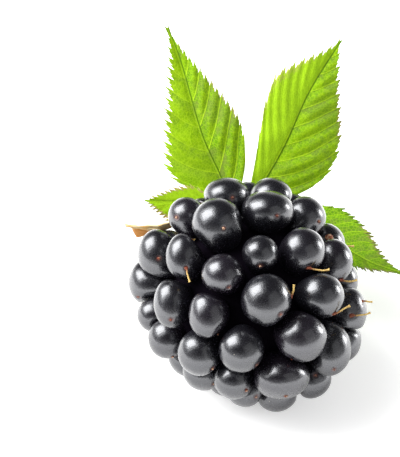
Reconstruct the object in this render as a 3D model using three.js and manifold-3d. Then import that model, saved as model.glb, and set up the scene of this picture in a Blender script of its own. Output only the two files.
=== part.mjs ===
// A ripe bramble berry lying on its side, with its calyx, stalk and leaf.
// Millimetres, +Z up. The origin is the middle of the flat under the lowest drupelet,
// which is right below the middle of the fruit. The fruit's tip points to -Y, a little to +X and down.

import * as THREE from 'three';
import { mergeVertices } from 'three/addons/utils/BufferGeometryUtils.js';
import Module from 'manifold-3d';

const wasm = await Module();
wasm.setup();

const { degToRad } = THREE.MathUtils;

// Driving dimensions of the fruit.
const FRUIT_HEADING = 23;          // degrees that the tip is turned from -Y towards +X
const FRUIT_TILT = 13;             // degrees that the tip points down
const FRUIT_HEIGHT = 11;           // from the surface it lies on to its middle
const HALF_LENGTH = 11.5;          // of the surface that the drupelets' middles lie on
const HALF_WIDTH = 10.4;
const SQUARENESS = 2.2;            // 2 is an ellipse, more is a barrel
const TIP_TAPER = 0.05;            // how much narrower the tip end is
const FLATTENING = 0.16;           // how far the belly is pressed in
const BELLY = [60, 150];           // where: degrees from the tip, and turn
const PRESSED = 0.9;               // how much of its radius a drupelet keeps where it rests
const CORE = 0.96;                 // the fruit's core, as a part of the drupelets' surface
const CORE_DETAIL = 3;
const DRUPELET_DETAIL = 1;

// The drupelets, ring by ring from the tip to the stalk: degrees from the tip, turn in degrees
// (0 on top, 90 on the left seen from the front), radius, and how many times as tall as wide it
// is, as the berry lies.
const DRUPELETS = [
  [6, 90, 3.2, 0.78],

  [26, -77, 2.45, 1.22], [25, -12, 2.8, 1], [35, 55, 2.5, 1], [32, 103, 2.25, 1], [34, 141, 2.2, 1],
  [30, 180, 2.5, 1], [30, -138, 2.3, 1],

  [50, 14, 2.75, 1.05], [48, -33, 2.55, 1], [55.5, -82, 2.4, 1.25], [46, -100, 2.45, 1.08],
  [54, 83, 2.45, 1.05], [58, 118, 2.3, 1], [57, 148, 2.3, 1], [55, 177, 2.4, 1], [54, -154, 2.4, 1],
  [54, -128, 2.3, 1],

  [77, 5, 1.98, 1], [75, -24, 2.45, 1.05], [77.5, -57, 2.15, 1.17], [80, -83, 2.1, 1.1],
  [75, 31, 2.35, 0.95], [61.5, 53.5, 2.15, 1.3], [87, 105, 2.2, 1.08], [84, 132, 2.4, 1],
  [82, 156, 2.6, 1], [77, 180, 2.5, 1], [79, -152, 2.5, 1], [78, -128, 2.4, 1], [72, -105, 2.3, 1],

  [108, -14, 2.95, 0.76], [109, 19, 2.8, 1], [102, 47, 1.95, 1.33], [86.5, 71, 2.0, 1.4],
  [110, -48, 2.4, 1], [101, -70, 2.3, 1], [106, 104, 2.0, 1], [108, 129, 2.4, 1], [106, 155, 2.4, 1],
  [105, -178, 2.5, 1], [105, -152, 2.5, 1], [104, -125, 2.4, 1], [97, -98, 2.4, 1],

  [135, 1, 2.65, 0.84], [129, -34, 2.45, 0.95], [136, 36, 2.1, 1], [128, 71, 2.2, 1.25],
  [125, 97, 2.5, 1.1], [131, 128, 2.4, 1], [131, 160, 2.4, 1], [130, -166, 2.4, 1],
  [131, -134, 2.4, 1], [123, -96, 2.4, 1], [130, -64, 2.3, 1],

  [148, -36, 1.9, 1], [156, 40, 1.9, 1], [152, 96, 2.0, 1], [152, 152, 2.0, 1], [152, -152, 2.0, 1],
  [152, -100, 2.0, 1], [161, 21, 1.45, 1], [155, -60, 1.8, 1],
];
const UPRIGHT = [0, 0.574, 0.819];   // the way that "tall" means; "wide" is along X

// The calyx: [radius, distance behind the fruit's middle], from the fruit's side to the stalk's.
const CALYX_PROFILE = [
  [0, 11.1], [1.6, 11.2], [2.2, 12.0], [2.8, 12.4], [3.0, 12.8], [2.4, 13.2], [1.5, 13.6], [1.2, 14.1],
  [0, 14.1],
];
const CALYX_SIDES = 24;

// The sepals: turn in degrees, length, and how far the point leans towards the fruit's tip.
const SEPALS = [[79, 6.7, 0], [147, 5.8, 0.4], [-141, 5.4, 0.2], [-92, 4.2, 0.6], [3, 0.8, 0.1]];
const SEPAL_FOOT = 3.3;            // where a sepal starts, from the calyx's axis
const SEPAL_BACK = 12.9;           // how far behind the fruit's middle it starts
const SEPAL_HALF_WIDTH = 1.3;
const SEPAL_FOLD = 0.2;
const SEPAL_THICKNESS = 0.4;

// The stalk's centre line from the calyx to the cut end, and the leaf's own stalk, from the
// fruit's middle.
const STALK_RADIUS = 0.85;
const STALK = [
  [-5.37, 12.66, 3.18], [-5.54, 13.06, 3.28], [-5.8, 13.95, 2.85], [-5.95, 14.8, 1.8], [-5.9, 16.6, -1.1],
  [-5.5, 18.2, -4.6], [-5.0, 20.2, -8.0], [-4.2, 23.2, -9.6], [-3.0, 26.6, -9.7],
];
const STALK_STEPS = 20;
const LEAF_STALK_RADIUS = 0.6;
const LEAF_STALK = [[-4.61, 18.96, -4.75], [-2.8, 20.0, -4.7], [-1.6, 20.3, -4.3], [-0.6, 20.45, -3.55]];
const LEAF_STALK_STEPS = 6;
const TUBE_HALF_SIDES = 5;

// The leaflets: middle line from the foot to the point, measured from the fruit's middle, and the
// way the upper side faces. Each half: its greatest half-width; how far along that is; how slowly
// it widens from the foot; how round its shoulder is and how quickly it narrows to the point; and
// how far it rises towards its edge per unit of width.
const LEAFLETS = {
  leaflet_upper_left: {
    midrib: [
      [-1.5, 20.9, -2.9], [-3.0, 23.2, 0.7], [-5.3, 25.7, 5.3], [-7.7, 30.2, 12.2], [-9.3, 32.4, 16.0],
    ],
    face: [0, -0.82, 0.57],
    port: { width: 5.2, widest: 0.34, foot: 1.2, shoulder: 1.0, narrowing: 1.3, fold: 0.12 },
    starboard: { width: 4.8, widest: 0.43, foot: 1.0, shoulder: 1.6, narrowing: 2.1, fold: 0.42 },
  },
  leaflet_upper_right: {
    midrib: [
      [-0.3, 20.9, -3.0], [2.8, 23.2, 1.3], [4.9, 25.2, 4.6], [7.6, 28.6, 9.5], [11.3, 31.6, 14.7],
    ],
    face: [0, -0.82, 0.57],
    port: { width: 4.3, widest: 0.69, foot: 1.2, shoulder: 1.25, narrowing: 1.7, fold: 0.34 },
    starboard: { width: 6.3, widest: 0.43, foot: 1.2, shoulder: 1.6, narrowing: 1.3, fold: 0.12 },
  },
  leaflet_right: {
    midrib: [
      [0.6, 19.6, -4.0], [6.5, 18.2, -3.9], [11.2, 14.6, -3.3], [14.4, 10.6, -2.7], [17.8, 8.0, -2.4],
    ],
    face: [0.1, -0.45, 0.89],
    port: { width: 4.5, widest: 0.42, foot: 1.1, shoulder: 1.25, narrowing: 1.5, fold: 0.22 },
    starboard: { width: 4.0, widest: 0.5, foot: 1.2, shoulder: 1.4, narrowing: 1.5, fold: 0.3 },
  },
  leaflet_small_left: {
    midrib: [
      [-2.4, 19.4, -3.5], [-4.6, 19.7, -1.8], [-7.4, 19.6, -0.6], [-9.6, 19.2, -0.1], [-11.8, 18.5, 0.5],
    ],
    face: [0, -0.82, 0.57],
    port: { width: 2.7, widest: 0.6, foot: 1.7, shoulder: 1.4, narrowing: 1.2, fold: 0.1 },
    starboard: { width: 2.1, widest: 0.5, foot: 1.4, shoulder: 1.3, narrowing: 1.3, fold: 0 },
  },
};
const LEAF_THICKNESS = 0.4;
const LEAF_STATIONS = 20;
const LEAF_COLUMNS = 6;
const TOOTH_DEPTH = 0.08;          // of the half-width
const DRIP = 0.1;                  // of the half-width, that runs on almost to the point
const BLADE_FOOT = 0.3;            // half-width of a blade at its two ends

const MATERIALS = {
  fruit: { color: 0x0d0c14, roughness: 0.22, metalness: 0 },
  calyx: { color: 0x8a9a4a, roughness: 0.7, metalness: 0 },
  sepal: { color: 0xb58a50, roughness: 0.8, metalness: 0 },
  stalk: { color: 0x7f9a3c, roughness: 0.6, metalness: 0 },
  leaf: { color: 0x7fb81e, roughness: 0.5, metalness: 0 },
};

const group = new THREE.Group();

function namedMesh(name, geometry, materialName) {
  const mesh = new THREE.Mesh(geometry, new THREE.MeshStandardMaterial(MATERIALS[materialName]));
  mesh.name = name;
  return mesh;
}

// The fruit's own axes: its top, its left side and its tip.
function fruitAxes() {
  const heading = degToRad(FRUIT_HEADING);
  const tilt = degToRad(FRUIT_TILT);
  const tip = new THREE.Vector3(
    Math.sin(heading) * Math.cos(tilt), -Math.cos(heading) * Math.cos(tilt), -Math.sin(tilt));
  const top = new THREE.Vector3(0, 0, 1).addScaledVector(tip, -tip.z).normalize();
  return { top, left: new THREE.Vector3().crossVectors(tip, top), tip };
}

const { top, left, tip } = fruitAxes();
const fruitBasis = new THREE.Matrix4().makeBasis(top, left, tip);
const middle = new THREE.Vector3(0, 0, FRUIT_HEIGHT);

// Unit vector at an angle from the tip and a turn round the axis, in the fruit's own axes.
function direction(fromTip, turn) {
  const polar = degToRad(fromTip);
  const round = degToRad(turn);
  return new THREE.Vector3(
    Math.sin(polar) * Math.cos(round), Math.sin(polar) * Math.sin(round), Math.cos(polar));
}

// Distance from the middle to the drupelets' surface along a unit vector: a tapered
// superellipse turned round the axis, pressed in at the belly.
function surfaceDistance(unit) {
  const across = Math.hypot(unit.x, unit.y);
  let distance = HALF_WIDTH;
  for (let pass = 0; pass < 30; pass += 1) {
    const width = HALF_WIDTH * (1 - TIP_TAPER * distance * unit.z / HALF_LENGTH);
    const sum = (Math.abs(unit.z) / HALF_LENGTH) ** SQUARENESS + (across / width) ** SQUARENESS;
    distance = sum ** (-1 / SQUARENESS);
  }
  const facingBelly = Math.max(0, unit.dot(direction(...BELLY)));
  return distance * (1 - FLATTENING * facingBelly ** 4);
}

function solidOf(geometry) {
  geometry.deleteAttribute('normal');
  geometry.deleteAttribute('uv');
  const merged = mergeVertices(geometry, 1e-4);
  return new wasm.Manifold(new wasm.Mesh({
    numProp: 3,
    vertProperties: new Float32Array(merged.attributes.position.array),
    triVerts: new Uint32Array(merged.index.array),
  }));
}

function geometryOf(solid) {
  const mesh = solid.getMesh();
  const geometry = new THREE.BufferGeometry();
  geometry.setAttribute('position', new THREE.BufferAttribute(mesh.vertProperties, 3));
  geometry.setIndex(new THREE.BufferAttribute(mesh.triVerts, 1));
  geometry.computeVertexNormals();
  return geometry;
}

// The fruit's core: the drupelets' surface drawn in a little.
function coreGeometry() {
  const geometry = new THREE.IcosahedronGeometry(1, CORE_DETAIL);
  const position = geometry.attributes.position;
  const unit = new THREE.Vector3();
  for (let i = 0; i < position.count; i += 1) {
    unit.fromBufferAttribute(position, i).normalize();
    const distance = CORE * surfaceDistance(unit);
    position.setXYZ(i, unit.x * distance, unit.y * distance, unit.z * distance);
  }
  return geometry.applyMatrix4(fruitBasis).translate(...middle.toArray());
}

// One drupelet, lifted where it would sink into the surface that the fruit lies on.
function drupeletGeometry(fromTip, turn, radius, tallness) {
  const unit = direction(fromTip, turn);
  const centre = unit.clone().multiplyScalar(surfaceDistance(unit)).applyMatrix4(fruitBasis).add(middle);
  centre.z = Math.max(centre.z, PRESSED * radius);
  const wide = new THREE.Vector3(1, 0, 0);
  const tall = new THREE.Vector3(...UPRIGHT).normalize();
  const facing = new THREE.Vector3().crossVectors(wide, tall);
  return new THREE.IcosahedronGeometry(radius, DRUPELET_DETAIL)
    .scale(1, tallness, 1)
    .applyMatrix4(new THREE.Matrix4().makeBasis(wide, tall, facing))
    .translate(...centre.toArray());
}

function makeFruit() {
  let solid = solidOf(coreGeometry());
  for (const drupelet of DRUPELETS) {
    solid = solid.add(solidOf(drupeletGeometry(...drupelet)));
  }
  const ground = new THREE.BoxGeometry(60, 60, 10).translate(0, 0, -5);
  return namedMesh('fruit', geometryOf(solid.subtract(solidOf(ground))), 'fruit');
}

function makeCalyx() {
  const profile = CALYX_PROFILE.map(([radius, back]) => new THREE.Vector2(radius, back));
  const geometry = new THREE.LatheGeometry(profile, CALYX_SIDES).rotateX(-Math.PI / 2);
  return namedMesh('calyx', geometry, 'calyx');
}

// A closed thin solid under a net of points: rows run along it, and each row has its own
// normals. Its thickness goes down from the net.
function slab(rows, normals, thickness) {
  const across = rows[0].length;
  const positions = [];
  for (const side of [0, 1]) {
    rows.forEach((row, r) => row.forEach((point, c) => {
      positions.push(...point.clone().addScaledVector(normals[r][c], -thickness * side).toArray());
    }));
  }
  const lower = rows.length * across;
  const index = [];
  const quad = (a, b, c, d) => index.push(a, c, b, a, d, c);
  for (let r = 0; r < rows.length - 1; r += 1) {
    for (let c = 0; c < across - 1; c += 1) {
      const a = r * across + c;
      quad(a, a + 1, a + 1 + across, a + across);
      quad(lower + a, lower + a + across, lower + a + 1 + across, lower + a + 1);
    }
    const first = r * across;
    const last = first + across - 1;
    quad(first, first + across, lower + first + across, lower + first);
    quad(last + across, last, lower + last, lower + last + across);
  }
  const end = (rows.length - 1) * across;
  for (let c = 0; c < across - 1; c += 1) {
    quad(c + 1, c, lower + c, lower + c + 1);
    quad(end + c, end + c + 1, lower + end + c + 1, lower + end + c);
  }
  const geometry = new THREE.BufferGeometry();
  geometry.setAttribute('position', new THREE.Float32BufferAttribute(positions, 3));
  geometry.setIndex(index);
  geometry.computeVertexNormals();
  return geometry;
}

// A blade along a curve. Both halves, port and starboard, have a fold and their half-widths at
// each station; face is the way the upper side looks. A half rises towards its edge by its fold
// times its width.
function blade(curve, halves, columns, face, thickness) {
  const rows = [];
  const normals = [];
  const stations = halves[0].widths.length;
  for (let i = 0; i < stations; i += 1) {
    const along = i / (stations - 1);
    const centre = curve.getPoint(along);
    const forward = curve.getTangent(along);
    const sideways = new THREE.Vector3().crossVectors(forward, face).normalize();
    const normal = new THREE.Vector3().crossVectors(sideways, forward).normalize();
    const row = [];
    for (let c = 0; c <= columns; c += 1) {
      const share = 1 - 2 * c / columns;
      const half = halves[share < 0 ? 0 : 1];
      const across = half.widths[i] * share;
      const rise = half.fold * Math.abs(across);
      row.push(centre.clone().addScaledVector(sideways, across).addScaledVector(normal, rise));
    }
    rows.push(row);
    normals.push(row.map(() => normal));
  }
  return slab(rows, normals, thickness);
}

// Half-widths of one half of a leaflet along its length, with teeth.
function leafHalf({ width, widest, foot, shoulder, narrowing, fold }) {
  const widths = [];
  for (let i = 0; i <= LEAF_STATIONS; i += 1) {
    const along = i / LEAF_STATIONS;
    const past = Math.max(0, (along - widest) / (1 - widest));
    const opening = Math.sin(0.5 * Math.PI * Math.min(1, along / widest)) ** foot;
    const body = (1 - past ** shoulder) ** narrowing;
    const shape = opening * ((1 - DRIP) * body + DRIP * (1 - past ** 3));
    const tooth = i % 2 ? 1 : 1 - TOOTH_DEPTH;
    widths.push(BLADE_FOOT + (width - BLADE_FOOT) * shape * tooth);
  }
  return { widths, fold };
}

function curveThrough(points) {
  return new THREE.CatmullRomCurve3(points.map((point) => new THREE.Vector3(...point).add(middle)));
}

function makeLeaflet(name) {
  const { midrib, face, port, starboard } = LEAFLETS[name];
  const halves = [leafHalf(port), leafHalf(starboard)];
  const upper = new THREE.Vector3(...face);
  return namedMesh(name, blade(curveThrough(midrib), halves, LEAF_COLUMNS, upper, LEAF_THICKNESS), 'leaf');
}

// One dried sepal, in the fruit's own axes.
function makeSepal(number, turn, length, lean) {
  const outward = direction(90, turn);
  const point = (distance, forward) => outward.clone().multiplyScalar(SEPAL_FOOT + distance)
    .setZ(-SEPAL_BACK + forward);
  const curve = new THREE.QuadraticBezierCurve3(
    point(0, 0), point(0.6 * length, 0), point(length, lean));
  const widths = [0.8, 1, 0.9, 0.65, 0.2].map((part) => part * SEPAL_HALF_WIDTH);
  const half = { widths, fold: SEPAL_FOLD };
  const geometry = blade(curve, [half, half], 2, new THREE.Vector3(0, 0, -1), SEPAL_THICKNESS);
  return namedMesh(`sepal_${number}`, geometry, 'sepal');
}

// A round stalk along a curve.
function makeStalk(name, points, radius, steps) {
  const section = new THREE.Shape().absarc(0, 0, radius, 0, 2 * Math.PI);
  const geometry = new THREE.ExtrudeGeometry(section, {
    steps,
    curveSegments: TUBE_HALF_SIDES,
    extrudePath: curveThrough(points),
  });
  return namedMesh(name, geometry, 'stalk');
}

const calyxGroup = new THREE.Group();
calyxGroup.position.copy(middle);
calyxGroup.quaternion.setFromRotationMatrix(fruitBasis);
calyxGroup.add(makeCalyx());
SEPALS.forEach(([turn, length, lean], i) => calyxGroup.add(makeSepal(i + 1, turn, length, lean)));

group.add(makeFruit());
group.add(calyxGroup);
group.add(makeStalk('fruit_stalk', STALK, STALK_RADIUS, STALK_STEPS));
group.add(makeStalk('leaf_stalk', LEAF_STALK, LEAF_STALK_RADIUS, LEAF_STALK_STEPS));
for (const name of Object.keys(LEAFLETS)) group.add(makeLeaflet(name));

export default group;
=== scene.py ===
"""A ripe bramble berry lying on its side: glossy drupelets, dried styles, calyx, stalk and toothed leaf."""

import math
import random
from collections import namedtuple

import bpy
import numpy as np
from bpy.props import FloatProperty, FloatVectorProperty, IntProperty, PointerProperty
from mathutils import Matrix, Vector, noise
from mathutils.bvhtree import BVHTree


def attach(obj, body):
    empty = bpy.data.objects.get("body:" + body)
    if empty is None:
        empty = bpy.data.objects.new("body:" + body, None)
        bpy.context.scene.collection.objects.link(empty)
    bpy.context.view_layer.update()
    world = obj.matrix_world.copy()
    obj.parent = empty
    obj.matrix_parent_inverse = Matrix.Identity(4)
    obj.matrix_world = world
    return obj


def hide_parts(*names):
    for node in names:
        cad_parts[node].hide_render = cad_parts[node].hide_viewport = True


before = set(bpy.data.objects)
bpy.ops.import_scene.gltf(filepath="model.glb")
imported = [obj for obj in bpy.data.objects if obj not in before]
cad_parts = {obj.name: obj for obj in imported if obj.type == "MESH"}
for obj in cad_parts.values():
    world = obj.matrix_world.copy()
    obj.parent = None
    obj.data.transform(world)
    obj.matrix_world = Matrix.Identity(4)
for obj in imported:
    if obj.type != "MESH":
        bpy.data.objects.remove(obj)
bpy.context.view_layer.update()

bl_info = {
    "name": "Bramble Berry",
    "version": (1, 0, 0),
    "blender": (4, 5, 0),
    "location": "View3D > Sidebar > Bramble",
    "description": "Drupelets, dried styles, calyx, stalks and toothed leaflets of a bramble berry",
    "category": "Add Mesh",
}

MM = 0.001
BODY = "root"

# ---------------------------------------------------------------------------------------------
# The fruit's plan, in millimetres and degrees
# ---------------------------------------------------------------------------------------------

FRUIT_HEADING = 23          # how far the tip is turned from -Y towards +X
FRUIT_TILT = 13             # how far the tip points down
FRUIT_HEIGHT = 11           # from the surface it lies on to its middle
HALF_LENGTH = 11.5          # of the surface that the drupelets' middles lie on
HALF_WIDTH = 10.4
SQUARENESS = 2.2            # 2 is a plain ellipse
TIP_TAPER = 0.05            # of the half-width, lost at the tip
FLATTENING = 0.16           # of that surface, towards the belly
BELLY = (60, 150)           # the way of the belly: degrees from the tip, and turn round the axis
PRESSED = 0.9               # least height of a drupelet's middle, as a part of its radius

# Every drupelet: degrees from the tip, turn round the axis, radius, and how many times as tall as
# wide it is, as the berry lies.
DRUPELETS = [
    (6, 90, 3.2, 0.78),

    (26, -77, 2.45, 1.22), (25, -12, 2.8, 1.0), (35, 55, 2.5, 1.0), (32, 103, 2.25, 1.0),
    (34, 141, 2.2, 1.0), (30, 180, 2.5, 1.0), (30, -138, 2.3, 1.0),

    (50, 14, 2.75, 1.05), (48, -33, 2.55, 1.0), (55.5, -82, 2.4, 1.25), (46, -100, 2.45, 1.08),
    (54, 83, 2.45, 1.05), (58, 118, 2.3, 1.0), (57, 148, 2.3, 1.0), (55, 177, 2.4, 1.0),
    (54, -154, 2.4, 1.0), (54, -128, 2.3, 1.0),

    (77, 5, 1.98, 1.0), (75, -24, 2.45, 1.05), (77.5, -57, 2.15, 1.17), (80, -83, 2.1, 1.1),
    (75, 31, 2.35, 0.95), (61.5, 53.5, 2.15, 1.3), (87, 105, 2.2, 1.08), (84, 132, 2.4, 1.0),
    (82, 156, 2.6, 1.0), (77, 180, 2.5, 1.0), (79, -152, 2.5, 1.0), (78, -128, 2.4, 1.0),
    (72, -105, 2.3, 1.0),

    (108, -14, 2.95, 0.76), (109, 19, 2.8, 1.0), (102, 47, 1.95, 1.33), (86.5, 71, 2.0, 1.4),
    (110, -48, 2.4, 1.0), (101, -70, 2.3, 1.0), (106, 104, 2.0, 1.0), (108, 129, 2.4, 1.0),
    (106, 155, 2.4, 1.0), (105, -178, 2.5, 1.0), (105, -152, 2.5, 1.0), (104, -125, 2.4, 1.0),
    (97, -98, 2.4, 1.0),

    (135, 1, 2.65, 0.84), (129, -34, 2.45, 0.95), (136, 36, 2.1, 1.0), (128, 71, 2.2, 1.25),
    (125, 97, 2.5, 1.1), (131, 128, 2.4, 1.0), (131, 160, 2.4, 1.0), (130, -166, 2.4, 1.0),
    (131, -134, 2.4, 1.0), (123, -96, 2.4, 1.0), (130, -64, 2.3, 1.0),

    (148, -36, 1.9, 1.0), (156, 40, 1.9, 1.0), (152, 96, 2.0, 1.0), (152, 152, 2.0, 1.0),
    (152, -152, 2.0, 1.0), (152, -100, 2.0, 1.0), (161, 21, 1.45, 1.0), (155, -60, 1.8, 1.0),
]

# The calyx: radius and distance behind the fruit's middle, from the fruit's side to the stalk's.
CALYX_PROFILE = [
    (0, 11.2), (1.6, 11.3), (2.2, 12.0), (2.8, 12.3), (3.0, 12.6), (2.95, 12.9), (2.5, 13.2),
    (1.9, 13.55), (1.35, 13.9), (1.2, 14.1), (0, 14.1),
]

# The sepals: turn, length, lean of the point towards the fruit's tip, how far the middle bows
# that way, half-width, twist, and how far a flap near the point hangs down.
SEPALS = [
    (79, 7.4, 0.0, 1.1, 0.55, 25, 1.9), (147, 6.4, 0.4, 0.4, 1.4, 18, 0), (-141, 6.0, 0.2, 0.4, 1.4, -15, 0),
    (-92, 4.8, 0.6, 0.4, 1.3, 20, 0), (3, 0.7, 0.0, 0.4, 1.1, -8, 0),
]
SEPAL_FOOT = 2.7
SEPAL_BACK = 12.9

# The stalks' centre lines, from the fruit's middle.
FRUIT_STALK = [
    (-5.18, 12.2, 3.06), (-5.54, 13.06, 3.28), (-5.8, 13.95, 2.85), (-5.95, 14.8, 1.8), (-5.9, 16.6, -1.1),
    (-5.5, 18.2, -4.6), (-5.0, 20.2, -8.0), (-4.2, 23.2, -9.6), (-3.0, 26.6, -9.7),
]
LEAF_STALK = [
    (-5.35, 18.6, -4.95), (-4.6, 19.0, -4.75), (-4.0, 19.4, -4.6), (-2.8, 20.0, -4.7), (-1.4, 20.2, -4.3),
]

# The leaflets: middle line from the foot to the point, measured from the fruit's middle, the way
# the upper side faces, and how many side veins each half has. Each half: half-width; where it is
# widest from foot (0) to point (1); how slowly it widens from the foot; how round its shoulder is
# and how quickly it narrows to the point; rise of its edge for its width; the side veins' angle;
# teeth to a vein and their depth as a part of the usual one; and how dull and speckled it is and
# how far painted shade darkens it, up to 1 and deeper in painted shade past 1, or less than 0
# for a half lightened with painted light whose edge withers.
Half = namedtuple("Half", "width widest foot shoulder narrowing fold angle teeth bite dull")
Leaflet = namedtuple("Leaflet", "midrib face veins port starboard")
LEAFLETS = {
    "leaflet_upper_left": Leaflet(
        [(-1.5, 20.9, -2.9), (-3.0, 23.2, 0.7), (-5.3, 25.7, 5.3), (-7.7, 30.2, 12.2), (-9.3, 32.4, 16.0)],
        (0, -0.82, 0.57), 9,
        Half(5.2, 0.34, 1.2, 1.0, 1.3, 0.12, 47, 2, 1.9, 0.25),
        Half(4.8, 0.43, 1.0, 1.6, 2.1, 0.42, 32, 2, 1.2, 1.0),
    ),
    "leaflet_upper_right": Leaflet(
        [(-0.3, 20.9, -3.0), (2.8, 23.2, 1.3), (4.9, 25.2, 4.6), (7.6, 28.6, 9.5), (11.3, 31.6, 14.7)],
        (0, -0.82, 0.57), 12,
        Half(4.3, 0.69, 1.2, 1.25, 1.7, 0.34, 26, 1, 1.3, -0.3),
        Half(6.3, 0.43, 1.2, 1.6, 1.3, 0.12, 44, 1, 0.9, 0.7),
    ),
    "leaflet_right": Leaflet(
        [(0.6, 19.6, -4.0), (6.5, 18.2, -3.9), (11.2, 14.6, -3.3), (14.4, 10.6, -2.7), (17.8, 8.0, -2.4)],
        (0.1, -0.45, 0.89), 11,
        Half(4.5, 0.42, 1.1, 1.25, 1.5, 0.22, 44, 2, 1.2, 1.4),
        Half(4.0, 0.5, 1.2, 1.4, 1.5, 0.3, 44, 2, 1.2, 1.4),
    ),
    "leaflet_small_left": Leaflet(
        [(-2.4, 19.4, -3.5), (-4.6, 19.7, -1.8), (-7.4, 19.6, -0.6), (-9.6, 19.2, -0.1), (-11.8, 18.5, 0.5)],
        (0, -0.82, 0.57), 8,
        Half(2.7, 0.6, 1.7, 1.4, 1.2, 0.1, 40, 2, 1.1, -0.8),
        Half(2.1, 0.5, 1.4, 1.3, 1.3, 0.0, 40, 2, 1.1, -0.8),
    ),
}

# Where the style sat on a drupelet, by its number in the list above: degrees from outwards
# towards the fruit's tip, and degrees to the side. The others follow a rule.
SCARS = {
    0: (-5, -1), 1: (38, 3), 2: (74, -28), 3: (54, 6), 4: (47, 6), 6: (64, -16), 7: (83, -30), 8: (44, 12),
    9: (51, 16), 10: (60, -40), 11: (94, 27), 18: (69, -22), 19: (80, -9), 20: (87, 11), 22: (61, -1),
    23: (86, -18), 31: (74, -9), 32: (72, 4), 33: (82, -1), 34: (64, -10), 35: (76, -9), 36: (85, -42),
    37: (90, 2), 44: (89, -5), 45: (85, -27), 46: (68, -20), 47: (98, 26),
}
SCAR_LEAN = 78              # degrees from outwards, for a drupelet far from the fruit's tip
SCAR_ONSET = 35             # degrees from the fruit's tip over which that lean sets in
SCAR_LEAN_SPREAD = (-8, 8)      # degrees at random, added to that
SCAR_SIDE_SPREAD = (-24, 10)    # degrees to the side, at random

# Dried styles that stand out: the drupelet's number, the way its foot lies from the drupelet's
# middle (its scar if None), the way the thread points, and its length as a part of the usual one.
STYLES = [
    (33, None, (0.35, -0.45, -0.80), 0.68), (19, None, (1.0, 0.1, 0.22), 1.0),
    (20, None, (1.0, 0.05, 0.15), 0.8), (9, None, (0.72, 0.42, 0.66), 0.85),
    (10, None, (0.96, 0.10, 0.22), 0.95), (8, (0.99, 0.0, 0.16), (0.15, 0.45, 0.85), 0.6),
    (36, (0.92, -0.30, 0.10), (1.0, 0.1, -0.05), 0.5), (10, (0.80, -0.1, 0.70), (1.0, 0.1, -0.15), 0.5),
]

# Scraps of dried blossom caught between drupelets: the drupelet's number, the way from its
# middle, and the scrap's size.
SCRAPS = [(36, (0.17, -0.58, 0.80), 0.45), (36, (0.06, -0.60, 0.80), 0.28)]


def fruit_axes():
    """The fruit's own top, left side and tip."""
    heading = math.radians(FRUIT_HEADING)
    tilt = math.radians(FRUIT_TILT)
    tip = Vector((
        math.sin(heading) * math.cos(tilt), -math.cos(heading) * math.cos(tilt), -math.sin(tilt)))
    top = (Vector((0, 0, 1)) - tip * tip.z).normalized()
    return top, tip.cross(top), tip


CAMERA_ELEVATION = math.radians(35)     # above the surface that the berry lies on
VIEW = Vector((0, math.cos(CAMERA_ELEVATION), -math.sin(CAMERA_ELEVATION)))
UPRIGHT = Vector((1, 0, 0)).cross(VIEW)
TOP, LEFT, TIP = fruit_axes()
MIDDLE = Vector((0, 0, FRUIT_HEIGHT))


def from_axes(place):
    """A place in the fruit's own axes as one in the frame's."""
    return TOP * place[0] + LEFT * place[1] + TIP * place[2]


def in_metres(place):
    """A place from the fruit's middle, in the fruit's own axes, as one in the frame in metres."""
    return (from_axes(place) + MIDDLE) * MM


def direction(from_tip, turn):
    """Unit vector in the fruit's own axes."""
    polar = math.radians(from_tip)
    around = math.radians(turn)
    return Vector((
        math.sin(polar) * math.cos(around), math.sin(polar) * math.sin(around), math.cos(polar)))


def surface_distance(unit):
    """From the fruit's middle to the surface that the drupelets' middles lie on."""
    across = math.hypot(unit.x, unit.y)
    distance = HALF_WIDTH
    for _ in range(30):
        width = HALF_WIDTH * (1 - TIP_TAPER * distance * unit.z / HALF_LENGTH)
        total = (abs(unit.z) / HALF_LENGTH) ** SQUARENESS + (across / width) ** SQUARENESS
        distance = total ** (-1 / SQUARENESS)
    facing_belly = max(0.0, unit.dot(direction(*BELLY)))
    return distance * (1 - FLATTENING * facing_belly ** 4)


class Drupelet:
    """One drupelet's middle, radius, and its own outward, ring and tip-wards directions."""

    def __init__(self, number, from_tip, turn, radius, stretch):
        unit = direction(from_tip, turn)
        centre = from_axes(unit * surface_distance(unit)) + MIDDLE
        centre.z = max(centre.z, PRESSED * radius)
        chance = random.Random(number)
        self.number = number
        self.centre = centre * MM
        self.radius = radius * MM
        self.stretch = stretch
        self.outward = (centre - MIDDLE).normalized()
        self.tipwards = (TIP - self.outward * TIP.dot(self.outward)).normalized()
        self.ring = self.outward.cross(self.tipwards)
        self.tone = chance.random()
        usual_lean = SCAR_LEAN * (1 - math.exp(-from_tip / SCAR_ONSET)) + chance.uniform(*SCAR_LEAN_SPREAD)
        usual = (usual_lean, chance.uniform(*SCAR_SIDE_SPREAD))
        lean, side = (math.radians(angle) for angle in SCARS.get(number, usual))
        forward = self.outward * math.cos(lean) + self.tipwards * math.sin(lean)
        self.scar = forward * math.cos(side) + self.ring * math.sin(side)


FRUIT = [Drupelet(number, *plan) for number, plan in enumerate(DRUPELETS)]

# ---------------------------------------------------------------------------------------------
# Sizes and colours that a user would change
# ---------------------------------------------------------------------------------------------


def length(label, about, default):
    """A property that holds a length, given in millimetres."""
    return FloatProperty(name=label, description=about, default=default * MM, unit="LENGTH", precision=6)


def number(label, about, default):
    return FloatProperty(name=label, description=about, default=default)


def count(label, about, default):
    return IntProperty(name=label, description=about, default=default, min=1)


def colour(label, about, default):
    return FloatVectorProperty(
        name=label, description=about, default=default, size=3, subtype="COLOR", min=0, max=1)


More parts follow.
